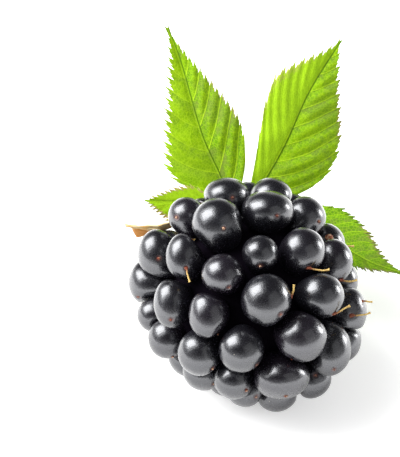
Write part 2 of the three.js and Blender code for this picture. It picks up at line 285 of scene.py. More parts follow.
class FruitSettings(bpy.types.PropertyGroup):
    segments: count("Segments", "Faces round each drupelet", 52)
    rings: count("Rings", "Faces from pole to pole of each drupelet", 28)
    fullness: number("Fullness", "How squarely neighbouring drupelets press on each other", 9.0)
    gap: length("Gap", "Space left between pressed drupelets", 0.16)
    wobble: number("Wobble", "Unevenness of a drupelet, as a part of its radius", 0.035)
    skin: colour("Skin", "Colour of the ripe skin", (0.0065, 0.0060, 0.0085))
    scar: colour("Scar", "Colour of the ring round the style", (0.10, 0.022, 0.014))


class StyleSettings(bpy.types.PropertyGroup):
    length: length("Length", "Length of a dried style", 2.4)
    radius: length("Radius", "Half of a dried style's thickness", 0.13)
    knob: length("Knob", "Radius of the stub that a lost style leaves", 0.17)
    foot: colour("Foot", "Colour at the foot of a style", (0.22, 0.045, 0.02))
    end: colour("End", "Colour at the end of a style", (0.72, 0.50, 0.16))
    stub: colour("Stub", "Colour of the stub of a lost style", (0.50, 0.31, 0.20))


class CalyxSettings(bpy.types.PropertyGroup):
    stamens: count("Stamens", "Dried stamens round the fruit's foot", 110)
    stamen: length("Stamen length", "Length of a dried stamen", 1.3)
    down: colour("Down", "Colour of the pale felt", (0.40, 0.42, 0.20))
    dry: colour("Dry", "Colour of the dried parts", (0.84, 0.52, 0.19))


class StalkSettings(bpy.types.PropertyGroup):
    fruit_radius: length("Fruit stalk", "Radius of the fruit's stalk", 0.8)
    leaf_radius: length("Leaf stalk", "Radius of the leaf's stalk", 0.52)
    foot_radius: length("Leaflet stalk", "Radius of a leaflet's own short stalk", 0.34)
    prickles: number("Prickles", "Prickles to a square millimetre", 0.35)
    hairs: number("Hairs", "Hairs to a square millimetre", 7.0)
    green: colour("Green", "Colour of the young bark", (0.26, 0.36, 0.07))
    blush: colour("Blush", "Colour on the side that had sun", (0.30, 0.10, 0.05))


class LeafSettings(bpy.types.PropertyGroup):
    thickness: length("Thickness", "Thickness of the blade", 0.24)
    pleat: length("Pleat", "How far the blade rises between its side veins", 0.42)
    tooth: length("Tooth", "Depth of a tooth of the edge", 0.85)
    rows: count("Rows", "Rows of faces from the foot to the point", 240)
    columns: count("Columns", "Columns of faces in each half", 18)
    upper: colour("Upper side", "Colour of the blade's upper side", (0.275, 0.49, 0.002))
    # The shade colour is painted shade on the pleats' falling sides, on dull and shaded halves and in the
    # midrib's furrow, and also the colour of a random mottle.
    shade: colour("Shade", "Colour of the blade's darker patches", (0.10, 0.255, 0.001))
    vein: colour("Vein", "Colour of the veins", (0.42, 0.64, 0.02))
    under: colour("Under side", "Colour of the blade's under side", (0.38, 0.55, 0.16))
    speck: colour("Bloom", "Colour of the dull bloom between the veins", (0.19, 0.24, 0.04))
    brown: colour("Brown", "Colour of the dry edges", (0.50, 0.27, 0.15))


class StageSettings(bpy.types.PropertyGroup):
    floor: colour("Floor", "Colour of the floor", (0.90, 0.90, 0.90))
    key: number("Key", "Brightness of the key lamp", 2.0)
    key_core: number("Key core", "Brightness of the middle of the key lamp", 8.0)
    strip: number("Strip", "Brightness of the lamp on the right", 13.0)
    fill: number("Fill", "Brightness of the lamp in front", 0.45)
    ambient: number("Ambient", "Brightness of the studio all round", 0.45)
    distance: length("Camera distance", "From the camera to the middle of the fruit", 230)


SETTINGS = {
    "bramble_fruit": FruitSettings,
    "bramble_styles": StyleSettings,
    "bramble_calyx": CalyxSettings,
    "bramble_stalks": StalkSettings,
    "bramble_leaf": LeafSettings,
    "bramble_stage": StageSettings,
}

# ---------------------------------------------------------------------------------------------
# Node trees
# ---------------------------------------------------------------------------------------------


class Value:
    """What comes out of a node, which Python's own signs work on."""

    def __init__(self, net, socket):
        self.net = net
        self.socket = socket

    def also(self, name):
        """Another output of the same node."""
        return Value(self.net, self.socket.node.outputs[name])

    def maths(self, operation, *parts):
        vectors = any(isinstance(part, Value) and part.socket.type == "VECTOR" for part in parts)
        kind = "ShaderNodeVectorMath" if vectors else "ShaderNodeMath"
        return self.net.node(kind, {"operation": operation}, dict(enumerate(parts)))

    def __add__(self, other):
        return self.maths("ADD", self, other)

    def __radd__(self, other):
        return self.maths("ADD", other, self)

    def __sub__(self, other):
        return self.maths("SUBTRACT", self, other)

    def __rsub__(self, other):
        return self.maths("SUBTRACT", other, self)

    def __mul__(self, other):
        return self.maths("MULTIPLY", self, other)

    def __rmul__(self, other):
        return self.maths("MULTIPLY", other, self)

    def __truediv__(self, other):
        return self.maths("DIVIDE", self, other)

    def __rtruediv__(self, other):
        return self.maths("DIVIDE", other, self)

    def __pow__(self, other):
        return self.maths("POWER", self, other)

    def __abs__(self):
        return self.maths("ABSOLUTE", self)

    def at_least(self, other):
        return self.maths("MAXIMUM", self, other)

    def at_most(self, other):
        return self.maths("MINIMUM", self, other)

    def wrapped(self):
        """What is left past the whole number."""
        return self.maths("FRACT", self)

    def cosine(self):
        return self.maths("COSINE", self)

    def size(self):
        """A vector's length."""
        return self.measure("LENGTH")

    def measure(self, operation, *others):
        """A number from vectors, such as their dot product."""
        return self.net.node(
            "ShaderNodeVectorMath", {"operation": operation}, dict(enumerate((self, *others))), "Value")

    def rising(self, low, high):
        """0 below low and 1 above high, with a smooth rise between."""
        return self.net.node(
            "ShaderNodeMapRange", {"interpolation_type": "SMOOTHSTEP"},
            {"Value": self, "From Min": low, "From Max": high})

    def parts(self):
        """X, Y and Z of a vector."""
        split = self.net.node("ShaderNodeSeparateXYZ", None, {"Vector": self})
        return split, split.also("Y"), split.also("Z")


class Net:
    """A node tree in the making."""

    def __init__(self, tree):
        self.tree = tree
        tree.nodes.clear()

    def node(self, kind, settings=None, inputs=None, output=0):
        """Any node: its settings are set first, then its sockets' values or links."""
        made = self.tree.nodes.new(kind)
        for name, setting in (settings or {}).items():
            setattr(made, name, setting)
        for name, value in (inputs or {}).items():
            self.fill(made.inputs[name], value)
        return Value(self, made.outputs[output]) if made.outputs else None

    def fill(self, socket, value):
        """Link a socket to a value, or to each of a list of values, or else set its number."""
        if isinstance(value, Value):
            self.tree.links.new(value.socket, socket)
        elif isinstance(value, list):
            for part in value:
                self.tree.links.new(part.socket, socket)
        elif socket.type == "RGBA":
            socket.default_value = (*value, 1.0)
        elif socket.type == "VECTOR" and isinstance(value, (int, float)):
            socket.default_value = (value, value, value)
        else:
            socket.default_value = value

    def mix(self, factor, first, second):
        """Colours: first where factor is 0, second where it is 1."""
        return self.node(
            "ShaderNodeMix", {"data_type": "RGBA"}, {0: factor, 6: first, 7: second}, 2)

    def vector(self, x=0.0, y=0.0, z=0.0):
        return self.node("ShaderNodeCombineXYZ", None, {"X": x, "Y": y, "Z": z})

    def noise(self, place, scale, detail=2.0, roughness=0.5):
        """Soft noise, with as many waves to a unit of the place as the scale says."""
        return self.node(
            "ShaderNodeTexNoise", None,
            {"Vector": place, "Scale": scale, "Detail": detail, "Roughness": roughness})

    def cells(self, place, scale, feature="F1"):
        return self.node(
            "ShaderNodeTexVoronoi", {"feature": feature}, {"Vector": place, "Scale": scale})

    def stored(self, name, kind="FLOAT"):
        """A named attribute, in a geometry tree."""
        return self.node("GeometryNodeInputNamedAttribute", {"data_type": kind}, {"Name": name})

    def painted(self, name, output="Fac"):
        """A named attribute, in a material."""
        return self.node("ShaderNodeAttribute", {"attribute_name": name}, None, output)

    def store(self, geometry, name, value, kind="FLOAT"):
        """The geometry with an attribute added."""
        return self.node(
            "GeometryNodeStoreNamedAttribute", {"data_type": kind, "domain": "POINT"},
            {"Geometry": geometry, "Name": name, "Value": value})

    def sampled(self, geometry, value, index, kind="FLOAT"):
        """What a value is at one point of a geometry, by the point's number."""
        return self.node(
            "GeometryNodeSampleIndex", {"data_type": kind},
            {"Geometry": geometry, "Value": value, "Index": index})

    def placed(self, points, shape, rotation, scale):
        """The shape set on every point, turned and scaled."""
        return self.node("GeometryNodeInstanceOnPoints", None, {
            "Points": points, "Instance": shape, "Rotation": rotation, "Scale": scale})

    def turned_to(self, way):
        """The rotation that turns Z to a way."""
        return self.node("FunctionNodeAlignRotationToVector", {"axis": "Z"}, {"Vector": way})

    def circle(self, sides):
        return self.node(
            "GeometryNodeCurvePrimitiveCircle", None, {"Resolution": sides, "Radius": 1.0}, "Curve")

    def sweep(self, curve, section):
        """A closed tube along a curve, as thick as the curve's own radius says."""
        return self.node("GeometryNodeCurveToMesh", None, {
            "Curve": curve, "Profile Curve": section, "Scale": self.node("GeometryNodeInputRadius"),
            "Fill Caps": True})


def geometry_net(name, inputs):
    """A geometry tree with named inputs, and what comes out of its Group Input."""
    tree = bpy.data.node_groups.new(name, "GeometryNodeTree")
    tree.interface.new_socket("Geometry", in_out="OUTPUT", socket_type="NodeSocketGeometry")
    tree.interface.new_socket("Geometry", in_out="INPUT", socket_type="NodeSocketGeometry")
    for label, kind in inputs.items():
        tree.interface.new_socket(label, in_out="INPUT", socket_type="NodeSocket" + kind)
    net = Net(tree)
    entry = net.node("NodeGroupInput")
    return net, {label: entry.also(label) for label in ("Geometry", *inputs)}


def end_tree(net, geometry, material):
    """Real, smooth faces with their material come out of the tree."""
    real = net.node("GeometryNodeRealizeInstances", None, {"Geometry": geometry})
    smooth = net.node("GeometryNodeSetShadeSmooth", None, {"Geometry": real})
    coated = net.node("GeometryNodeSetMaterial", None, {"Geometry": smooth, "Material": material})
    net.node("NodeGroupOutput", None, {"Geometry": coated})
    return net.tree


def grow(name, source, tree, values):
    """Run a tree on a mesh or curve, and keep the plain mesh that it makes."""
    holder = bpy.data.objects.new(name + "_plan", source)
    bpy.context.collection.objects.link(holder)
    modifier = holder.modifiers.new(tree.name, "NODES")
    modifier.node_group = tree
    for item in tree.interface.items_tree:
        if item.in_out == "INPUT" and item.name in values:
            modifier[item.identifier] = values[item.name]
    depsgraph = bpy.context.evaluated_depsgraph_get()
    mesh = bpy.data.meshes.new_from_object(
        holder.evaluated_get(depsgraph), preserve_all_data_layers=True, depsgraph=depsgraph)
    holder.modifiers.clear()
    bpy.data.objects.remove(holder)
    if not mesh.polygons:
        raise RuntimeError(f"{name} came out empty")
    mesh.name = name
    return add_piece(name, mesh)


def add_piece(name, mesh):
    piece = bpy.data.objects.new(name, mesh)
    bpy.context.collection.objects.link(piece)
    return piece


def hand_over(piece, slot, *nodes):
    """The piece rides on the berry's one body, and stands for these nodes."""
    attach(piece, BODY)
    if nodes:
        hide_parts(*nodes)


def points_mesh(name, places, attributes):
    """Loose points with attributes, from which a tree grows a piece."""
    mesh = bpy.data.meshes.new(name)
    mesh.from_pydata([tuple(place) for place in places], [], [])
    for label, values in attributes.items():
        put_attribute(mesh, label, np.array(values, np.float32))
    return mesh


def put_attribute(mesh, label, values):
    """Give each point of a mesh a number, or a vector where the values have rows."""
    vectors = values.ndim == 2
    kind = "FLOAT_VECTOR" if vectors else "FLOAT"
    attribute = mesh.attributes.new(label, kind, "POINT")
    attribute.data.foreach_set("vector" if vectors else "value", values.ravel())


# ---------------------------------------------------------------------------------------------
# Materials
# ---------------------------------------------------------------------------------------------


def material(name):
    """A new material, and its empty node tree."""
    made = bpy.data.materials.new(name)
    made.use_nodes = True
    return made, Net(made.node_tree)


def coat(net, settings, bump=None):
    """The shader and the material's output. bump is (height, distance in metres, strength)."""
    inputs = dict(settings)
    if bump:
        height, distance, strength = bump
        inputs["Normal"] = net.node(
            "ShaderNodeBump", None, {"Height": height, "Distance": distance, "Strength": strength})
    shader = net.node("ShaderNodeBsdfPrincipled", None, inputs)
    net.node("ShaderNodeOutputMaterial", None, {"Surface": shader})


def object_place(net):
    """The place of what is shaded, in metres."""
    return net.node("ShaderNodeTexCoord", None, None, "Object")


def ripe_skin(settings):
    """Near-black glossy skin with a fine grain and a reddish ring round each style, on a core painted
    near-black as painted shade between the drupelets.
    """
    made, net = material("ripe_skin")
    place = object_place(net)
    from_scar = (place - net.painted("scar_point", "Vector")).size()
    tone = net.painted("tone")
    clouds = net.noise(place, 420, 3)
    grain = net.noise(place, 6200, 4, 0.7)
    pores = net.cells(place, 3600)
    ring = 1 - (from_scar + 0.22 * MM * clouds).rising(0.18 * MM, 0.58 * MM)
    violet = net.mix(tone.rising(0.4, 1.0) * clouds, settings.skin, (0.011, 0.006, 0.012))
    bloom = net.mix((clouds * grain).rising(0.2, 0.42) * 0.3, violet, (0.028, 0.031, 0.039))
    base = net.mix(ring * 0.85, bloom, settings.scar)
    dust_at = net.cells(place, 620)
    dust = 1 - dust_at.rising(0.03, 0.05)
    seldom = net.noise(place, 300, 1).rising(0.56, 0.62)
    dusty = net.mix(dust * seldom, base, (0.55, 0.50, 0.42))
    height = grain * 0.9 + pores * 0.4 + clouds * 0.7 - ring * 6.0 + dust * seldom * 3.0
    roughness = 0.21 + grain * 0.13 + ring * 0.25
    skin = net.node("ShaderNodeBsdfPrincipled", None, {
        "Base Color": dusty,
        "Roughness": roughness,
        "IOR": 1.8,
        "Specular Tint": (0.93, 0.95, 1.0),
        "Coat Weight": 0.5 - ring * 0.4,
        "Coat Roughness": 0.12,
        "Coat IOR": 1.6,
        "Normal": net.node("ShaderNodeBump", None, {
            "Height": height, "Distance": 0.02 * MM, "Strength": 0.8}),
    })
    # The core gets a matt near-black: painted shade for the deep gaps between the drupelets.
    deep = net.node("ShaderNodeBsdfPrincipled", None, {
        "Base Color": (0.004, 0.003, 0.005), "Roughness": 0.9, "Specular IOR Level": 0.0})
    both = net.node("ShaderNodeMixShader", None, {0: net.painted("core"), 1: skin, 2: deep})
    net.node("ShaderNodeOutputMaterial", None, {"Surface": both})
    return made


def style_finish(name, foot, end, turning=0.1):
    """Dried styles, stubs and stamens: one colour at the foot that turns into another past a place."""
    made, net = material(name)
    place = object_place(net)
    fibres = net.noise(place, 3000, 3)
    along = net.painted("along")
    base = net.mix((along + (fibres - 0.5) * 0.3).rising(turning, turning + 0.45), foot, end)
    tinted = net.mix(fibres.rising(0.5, 0.75) * 0.5, base, (0.34, 0.15, 0.05))
    coat(net, {"Base Color": tinted, "Roughness": 0.55 + fibres * 0.2}, (fibres, 0.06 * MM, 0.6))
    return made


def downy_finish(settings):
    """The calyx: pale green felt, browner where it dries."""
    made, net = material("calyx_down")
    place = object_place(net)
    felt = net.noise(place, 4200, 4, 0.7)
    patches = net.noise(place, 500, 3)
    base = net.mix(patches.rising(0.42, 0.68), settings.down, (0.30, 0.23, 0.10))
    pale = net.mix(felt.rising(0.45, 0.8) * 0.4, base, (0.60, 0.60, 0.40))
    coat(net, {
        "Base Color": pale, "Roughness": 0.85, "Sheen Weight": 0.4, "Sheen Roughness": 0.5,
    }, (felt, 0.08 * MM, 0.7))
    return made


def dry_finish(settings):
    """Dried sepals: straw with long fibres, and orange-brown on the hanging flap that is partly its dried
    colour and partly painted shade.
    """
    made, net = material("dried_sepal")
    place = object_place(net)
    along, across, flap = net.painted("blade", "Vector").parts()
    ribs = (across * 22.0).cosine()
    patches = net.noise(place, 800, 3)
    fibres = net.noise(place, 3600, 4, 0.65)
    base = net.mix(patches.rising(0.4, 0.62), settings.dry, (0.95, 0.78, 0.45))
    # The hanging flap: orange-brown, partly the sepal's dried colour and partly painted shade.
    flap_tint_and_shade = net.mix(flap.rising(0.05, 0.5), base, (0.62, 0.24, 0.025))
    brown = net.mix((1 - along.rising(0.0, 0.25)) * 0.35, flap_tint_and_shade, (0.30, 0.17, 0.06))
    lined = net.mix(fibres.rising(0.52, 0.7) * 0.3, brown, (0.45, 0.20, 0.06))
    coat(net, {"Base Color": lined, "Roughness": 0.72}, (fibres + ribs * 0.3, 0.06 * MM, 0.7))
    return made


def bark_finish(settings):
    """Young green bark with long ribs, a reddish blush, and a pale pith at a cut end."""
    made, net = material("stalk_bark")
    place = object_place(net)
    along, around, _ = net.painted("bark", "Vector").parts()
    streaks = net.noise(net.vector(along * 300, around * 9), 1.0, 3)
    specks = net.noise(place, 2600, 3)
    base = net.mix(streaks.rising(0.38, 0.7), settings.green, (0.40, 0.47, 0.14))
    sunny = net.mix(net.noise(place, 180, 2).rising(0.46, 0.64) * 0.7, base, settings.blush)
    speckled = net.mix(specks.rising(0.6, 0.75) * 0.4, sunny, (0.14, 0.13, 0.03))
    cut_end = (Vector(FRUIT_STALK[-1]) + MIDDLE) * MM
    pith = 1 - (place - cut_end).size().rising(0.55 * MM, 0.70 * MM)
    cut = net.mix(pith, speckled, (0.72, 0.70, 0.42))
    coat(net, {"Base Color": cut, "Roughness": 0.5 + specks * 0.2}, (streaks + specks, 0.05 * MM, 0.5))
    return made


def prickle_finish():
    """Small hooked prickles and hairs, pale with reddish feet."""
    made, net = material("prickle_skin")
    along = net.painted("along")
    base = net.mix(along.rising(0.1, 0.9), (0.42, 0.20, 0.08), (0.70, 0.62, 0.32))
    coat(net, {"Base Color": base, "Roughness": 0.4 + along * 0.2})
    return made


def leaf_finish(settings):
    """Leaf blade: yellow-green pleats between paler veins, with a fine net and dull specks, painted shade on
    the pleats' falling sides, in the midrib's furrow and on shaded halves, and painted light on others.
    """
    made, net = material("leaf_blade")
    place = object_place(net)
    phase, across, under = net.painted("veins", "Vector").parts()
    _, edge, marked = net.painted("blade", "Vector").parts()

    # A half's mark, taken apart: dull and darkened with painted shade up to 1, deeper in painted shade past
    # it, lightened with painted light and withered below 0.
    dull = marked.at_least(0).at_most(1)
    deep = (marked - 1).at_least(0) * 2
    withered = (marked * -1).at_least(0)
    painted_light = (withered * 3.5).at_most(1)

    # Where the pleats, the veins and the fine net lie.
    wander = net.noise(place, 900, 3)
    cloud = net.noise(place, 230, 3)
    grain = net.noise(place, 5200, 3, 0.6)
    pleat = (phase + (wander - 0.5) * 0.05).wrapped()
    to_vein = 0.5 - abs(pleat - 0.5)
    side_vein = 1 - to_vein.rising(0.012, 0.05)
    midrib = 1 - abs(across).rising(0.05 * MM, 0.18 * MM)
    small_net = 1 - net.cells(place, 2700, "DISTANCE_TO_EDGE").rising(0.02, 0.16)
    mottle = net.noise(place, 1500, 4, 0.7)

    # Painted shade on the falling side of each pleat and over dull and shaded halves, with a random mottle,
    # then the net, bloom, specks and veins over it.
    falling = pleat.rising(0.30, 0.88) * (1 - pleat.rising(0.95, 1.0))
    painted_shade_and_mottle = falling * (0.1 + dull * 0.5) + cloud.rising(0.42, 0.66) * 0.2 + dull * 0.34 + deep
    painted_shade_and_mottle = painted_shade_and_mottle + (mottle.rising(0.35, 0.68) - 0.3) * 0.5
    blade = net.mix(painted_shade_and_mottle.at_least(0).at_most(1), settings.upper, settings.shade)
    netted = net.mix(small_net * 0.38, blade, settings.vein)
    patch = (cloud * 0.6 + mottle * 0.4).rising(0.44, 0.56) * dull
    patch = patch * (0.3 + falling * 0.7) * (1 - deep * 0.5)
    bloomed = net.mix((patch * 0.62).at_most(0.7), netted, settings.speck)
    specks = grain.rising(0.5, 0.62) * dull * (0.2 + falling * 0.6)
    speckled = net.mix((specks * 0.45).at_most(0.5), bloomed, (0.14, 0.13, 0.04))
    vein_shown = side_vein * (0.3 + dull * 0.45) * (1 - deep * 0.6)
    veined = net.mix(vein_shown.at_least(midrib * 0.35).at_most(0.75), speckled, settings.vein)
    # Painted shade: a dark line in the furrow beside the midrib.
    past_furrow = abs(across - 0.10 * MM).rising(0.02 * MM, 0.13 * MM)
    with_furrow_shade = net.mix((1 - past_furrow) * 0.9, veined, settings.shade * 0.6)
    # Painted light: halves marked below 0 are lightened towards a bright yellow-green.
    with_painted_light = net.mix(painted_light * 0.35, with_furrow_shade, (0.55, 0.95, 0.03))

    # The dry edges and the paler under side.
    dry = edge.rising(0.94, 0.995) * cloud.rising(0.46, 0.6) * 0.5
    dry = dry.at_least((edge + (mottle - 0.5) * 0.5).rising(0.82, 0.98) * withered)
    edged = net.mix(dry, with_painted_light, settings.brown)
    turned = net.mix(under * 0.8, edged, settings.under)
    height = small_net * -0.6 + grain * 0.25 - side_vein.at_least(midrib) * (1 - under * 2) * 1.2
    coat(net, {
        "Base Color": turned,
        "Roughness": 0.56 + grain * 0.16 + under * 0.2,
        "Specular IOR Level": 0.10,
    }, (height, 0.06 * MM, 0.6))
    return made


# ---------------------------------------------------------------------------------------------
# The fruit
# ---------------------------------------------------------------------------------------------

CORE_SHARE = 0.80            # of the drupelets' surface
ROOTED = 0.40                # how far a drupelet runs on inwards: 0 is a ball, near 1 a long root
LEAST_WALL = 0.35            # of a drupelet's radius, from its middle to where another presses
SKIN_WAVES = 330.0           # to a metre, in the drupelets' unevenness


def drupelet_tree():
    """Round drupelets that press flat on each other and on what they lie on, round a core."""
    net, given = geometry_net("Drupelets", {
        "Segments": "Int", "Rings": "Int", "Count": "Int", "Fullness": "Float", "Gap": "Float",
        "Rooted": "Float", "Wobble": "Float", "Core size": "Vector", "Core place": "Vector",
        "Core axis": "Vector", "Upright": "Vector", "Skin": "Material",
    })
    plan = given["Geometry"]
    fullness = given["Fullness"]
    ball = net.node(
        "GeometryNodeMeshUVSphere", None,
        {"Segments": given["Segments"], "Rings": given["Rings"], "Radius": 1.0})
    outward = net.stored("outward", "FLOAT_VECTOR")
    radius = net.stored("radius")
    balls = net.placed(plan, ball, net.turned_to(outward), radius)
    loose = net.node("GeometryNodeRealizeInstances", None, {"Geometry": balls})

    position = net.node("GeometryNodeInputPosition")
    centre = net.stored("centre", "FLOAT_VECTOR")
    spoke = position - centre
    ray = spoke.maths("NORMALIZE", spoke)
    upright = ray.measure("DOT_PRODUCT", given["Upright"])
    stretch = net.stored("stretch")
    inward = ray.measure("DOT_PRODUCT", outward).at_most(0)
    narrowed = upright * upright * (1 - 1 / (stretch * stretch)) + inward * inward * given["Rooted"]
    own = (1 - narrowed) ** (fullness / 2)
    down = (ray.parts()[2] * -1).at_least(0)
    floor = (down * radius / centre.parts()[2]) ** fullness
    started = net.store(loose, "press", own + floor)

    repeat = net.tree.nodes.new("GeometryNodeRepeatInput")
    until = net.tree.nodes.new("GeometryNodeRepeatOutput")
    repeat.pair_with_output(until)
    net.fill(repeat.inputs["Iterations"], given["Count"])
    net.fill(repeat.inputs["Geometry"], started)
    turn = Value(net, repeat.outputs["Iteration"])
    other_centre = net.sampled(plan, position, turn, "FLOAT_VECTOR")
    other_radius = net.sampled(plan, radius, turn)
    between = other_centre - centre
    apart = between.size().at_least(1e-6)
    facing = (ray.measure("DOT_PRODUCT", between) / apart).at_least(0)
    wall = (apart * apart + radius * radius - other_radius * other_radius) / (apart * 2) - given["Gap"] / 2
    term = (facing * radius / wall.at_least(radius * LEAST_WALL)) ** fullness
    pressed = net.store(Value(net, repeat.outputs["Geometry"]), "press", net.stored("press") + term)
    net.fill(until.inputs["Geometry"], pressed)

    uneven = net.noise(centre + ray * radius, SKIN_WAVES, 1.5)
    reach = radius * net.stored("press") ** (-1 / fullness) * (1 + (uneven - 0.5) * given["Wobble"] * 2)
    shaped = net.node(
        "GeometryNodeSetPosition", None,
        {"Geometry": Value(net, until.outputs["Geometry"]), "Position": centre + ray * reach})

    heart = net.node("GeometryNodeMeshIcoSphere", None, {"Radius": 1.0, "Subdivisions": 4})
    core = net.node("GeometryNodeTransform", None, {
        "Geometry": heart, "Translation": given["Core place"],
        "Rotation": net.turned_to(given["Core axis"]), "Scale": given["Core size"]})
    whole = net.node("GeometryNodeJoinGeometry", None, {"Geometry": [shaped, core]})
    return end_tree(net, whole, given["Skin"])


def make_fruit(context):
    settings = context.scene.bramble_fruit
    attributes = {
        label: [getattr(drupelet, label) for drupelet in FRUIT]
        for label in ("centre", "radius", "stretch", "outward", "tone")
    }
    attributes["number"] = [drupelet.number + 1 for drupelet in FRUIT]      # 0 is the core's
    plan = points_mesh("drupelets", attributes["centre"], attributes)
    wide = HALF_WIDTH * CORE_SHARE * MM
    fruit = grow("ripe_drupelets", plan, drupelet_tree(), {
        "Segments": settings.segments, "Rings": settings.rings, "Count": len(FRUIT),
        "Fullness": settings.fullness, "Gap": settings.gap, "Rooted": ROOTED, "Wobble": settings.wobble,
        "Core size": (wide, wide, HALF_LENGTH * CORE_SHARE * MM), "Core place": MIDDLE * MM,
        "Core axis": TIP, "Upright": UPRIGHT, "Skin": ripe_skin(settings),
    })
    mark_scars(fruit.data)
    hand_over(fruit, "fruit", "fruit")


def skin_tree(mesh):
    """A mesh's faces, sorted for rays to be cast at them."""
    places = [vertex.co for vertex in mesh.vertices]
    return BVHTree.FromPolygons(places, [tuple(face.vertices) for face in mesh.polygons])


def skin_at(tree, drupelet, way):
    """Where a drupelet's skin is in a direction from its middle, and the way the skin faces."""
    way = Vector(way)
    place, normal, *_ = tree.ray_cast(drupelet.centre, way, 3 * drupelet.radius)
    if place is None:
        raise RuntimeError(f"drupelet {drupelet.number} has no skin there")
    return place, normal if normal.dot(way) > 0 else -normal


def mark_scars(mesh):
    """Give every point of a drupelet's skin the place of its scar, which the material reads."""
    numbers = np.zeros(len(mesh.vertices), np.float32)
    mesh.attributes["number"].data.foreach_get("value", numbers)
    tree = skin_tree(mesh)
    far_off = Vector((0, 0, 1))
    scars = np.array([far_off, *(skin_at(tree, one, one.scar)[0] for one in FRUIT)], np.float32)
    put_attribute(mesh, "scar_point", scars[np.rint(numbers).astype(int)])
    # The core's points, which the skin paints near-black as painted shade between the drupelets.
    put_attribute(mesh, "core", (numbers < 0.5).astype(np.float32))


# ---------------------------------------------------------------------------------------------
# Dried styles and their stubs
# ---------------------------------------------------------------------------------------------


def curves(name, paths):
    """A curve with one spline for each path: a list of places, and a list of radii."""
    data = bpy.data.curves.new(name, "CURVE")
    data.dimensions = "3D"
    for places, radii in paths:
        spline = data.splines.new("POLY")
        spline.points.add(len(places) - 1)
        for point, place, radius in zip(spline.points, places, radii):
            point.co = (*place, 1.0)
            point.radius = radius
    return data


def smooth_path(places, steps):
    """Places at even steps along a smooth curve through these."""
    knots = [2 * places[0] - places[1], *places, 2 * places[-1] - places[-2]]
    fine = []
    for a, b, c, d in zip(knots, knots[1:], knots[2:], knots[3:]):
        for part in range(24):
            t = part / 24
            fine.append(0.5 * (
                2 * b + (c - a) * t + (2 * a - 5 * b + 4 * c - d) * t ** 2
                + (3 * b - a - 3 * c + d) * t ** 3))
    fine.append(places[-1])
    gone = [0.0]
    for first, second in zip(fine, fine[1:]):
        gone.append(gone[-1] + (second - first).length)
    wanted = np.linspace(0, gone[-1], steps + 1)
    columns = [np.interp(wanted, gone, [place[axis] for place in fine]) for axis in range(3)]
    return [Vector(place) for place in zip(*columns)]


def thread_tree():
    """Round threads along curves, with how far along each point lies."""
    net, given = geometry_net("Threads", {"Sides": "Int", "Material": "Material"})
    marked = net.store(given["Geometry"], "along", net.node("GeometryNodeSplineParameter"))
    swept = net.sweep(marked, net.circle(given["Sides"]))
    return end_tree(net, swept, given["Material"])


STYLE_STEPS = 14
STYLE_SWAY = 0.16            # how far a style strays from its way at each step
STYLE_PULL = 0.22            # how strongly it turns to its aim at each step
STYLE_KNOB = (0.95, 1.15)    # radii of the knob on its end, as parts of the style's own


def style_path(foot, normal, aim, size, radius, chance):
    """A dried style: out of its scar, then bent over towards its aim, with a knob on its end."""
    places = [foot - normal * radius]
    heading = (normal * 0.7 + aim * 0.5).normalized()
    for _ in range(STYLE_STEPS):
        sway = Vector([chance.uniform(-1, 1) for _ in range(3)]) * STYLE_SWAY
        heading = (heading + aim * STYLE_PULL + sway).normalized()
        places.append(places[-1] + heading * size / STYLE_STEPS)
    shares = [2.1 - 1.35 * min(1.0, step / 3) for step in range(STYLE_STEPS - 1)]
    return places, [radius * share for share in (*shares, *STYLE_KNOB)]


def more_styles(chance):
    """Styles on some of the low drupelets that face away: number, foot, aim and length as in STYLES."""
    plans = []
    for drupelet in FRUIT:
        hidden = drupelet.outward.dot(VIEW) > 0.45 and drupelet.outward.z < 0.45
        if hidden and chance.random() < 0.5:
            aim = drupelet.outward * 0.6 + drupelet.ring * chance.choice((-1, 1))
            plans.append((drupelet.number, None, aim, chance.uniform(0.6, 1.1)))
    return plans


def make_styles(context):
    settings = context.scene.bramble_styles
    chance = random.Random(7)
    tree = skin_tree(bpy.data.objects["ripe_drupelets"].data)
    paths = []
    for number, way, aim, share in STYLES + more_styles(chance):
        foot, normal = skin_at(tree, FRUIT[number], way or FRUIT[number].scar)
        size = settings.length * share
        aim = Vector(aim).normalized()
        stays_above_floor = foot.z + size * min(0.0, aim.z) > 3 * settings.radius
        if stays_above_floor:
            paths.append(style_path(foot, normal, aim, size, settings.radius, chance))
    stubs = []
    for drupelet in FRUIT:
        foot, normal = skin_at(tree, drupelet, drupelet.scar)
        knob = settings.knob * chance.uniform(0.55, 1.2)
        if foot.z > 2 * knob:
            stubs.append((foot, normal, knob))
    for number, way, knob in SCRAPS:
        foot, normal = skin_at(tree, FRUIT[number], way)
        stubs.append((foot, normal, knob * MM))
    finish = style_finish("dried_style", settings.foot, settings.end)
    threads = grow("styles", curves("styles", paths), thread_tree(), {"Sides": 8, "Material": finish})
    hand_over(threads, "sepal")
    make_stubs(stubs, style_finish("style_stub", settings.foot, settings.stub, 0.35))


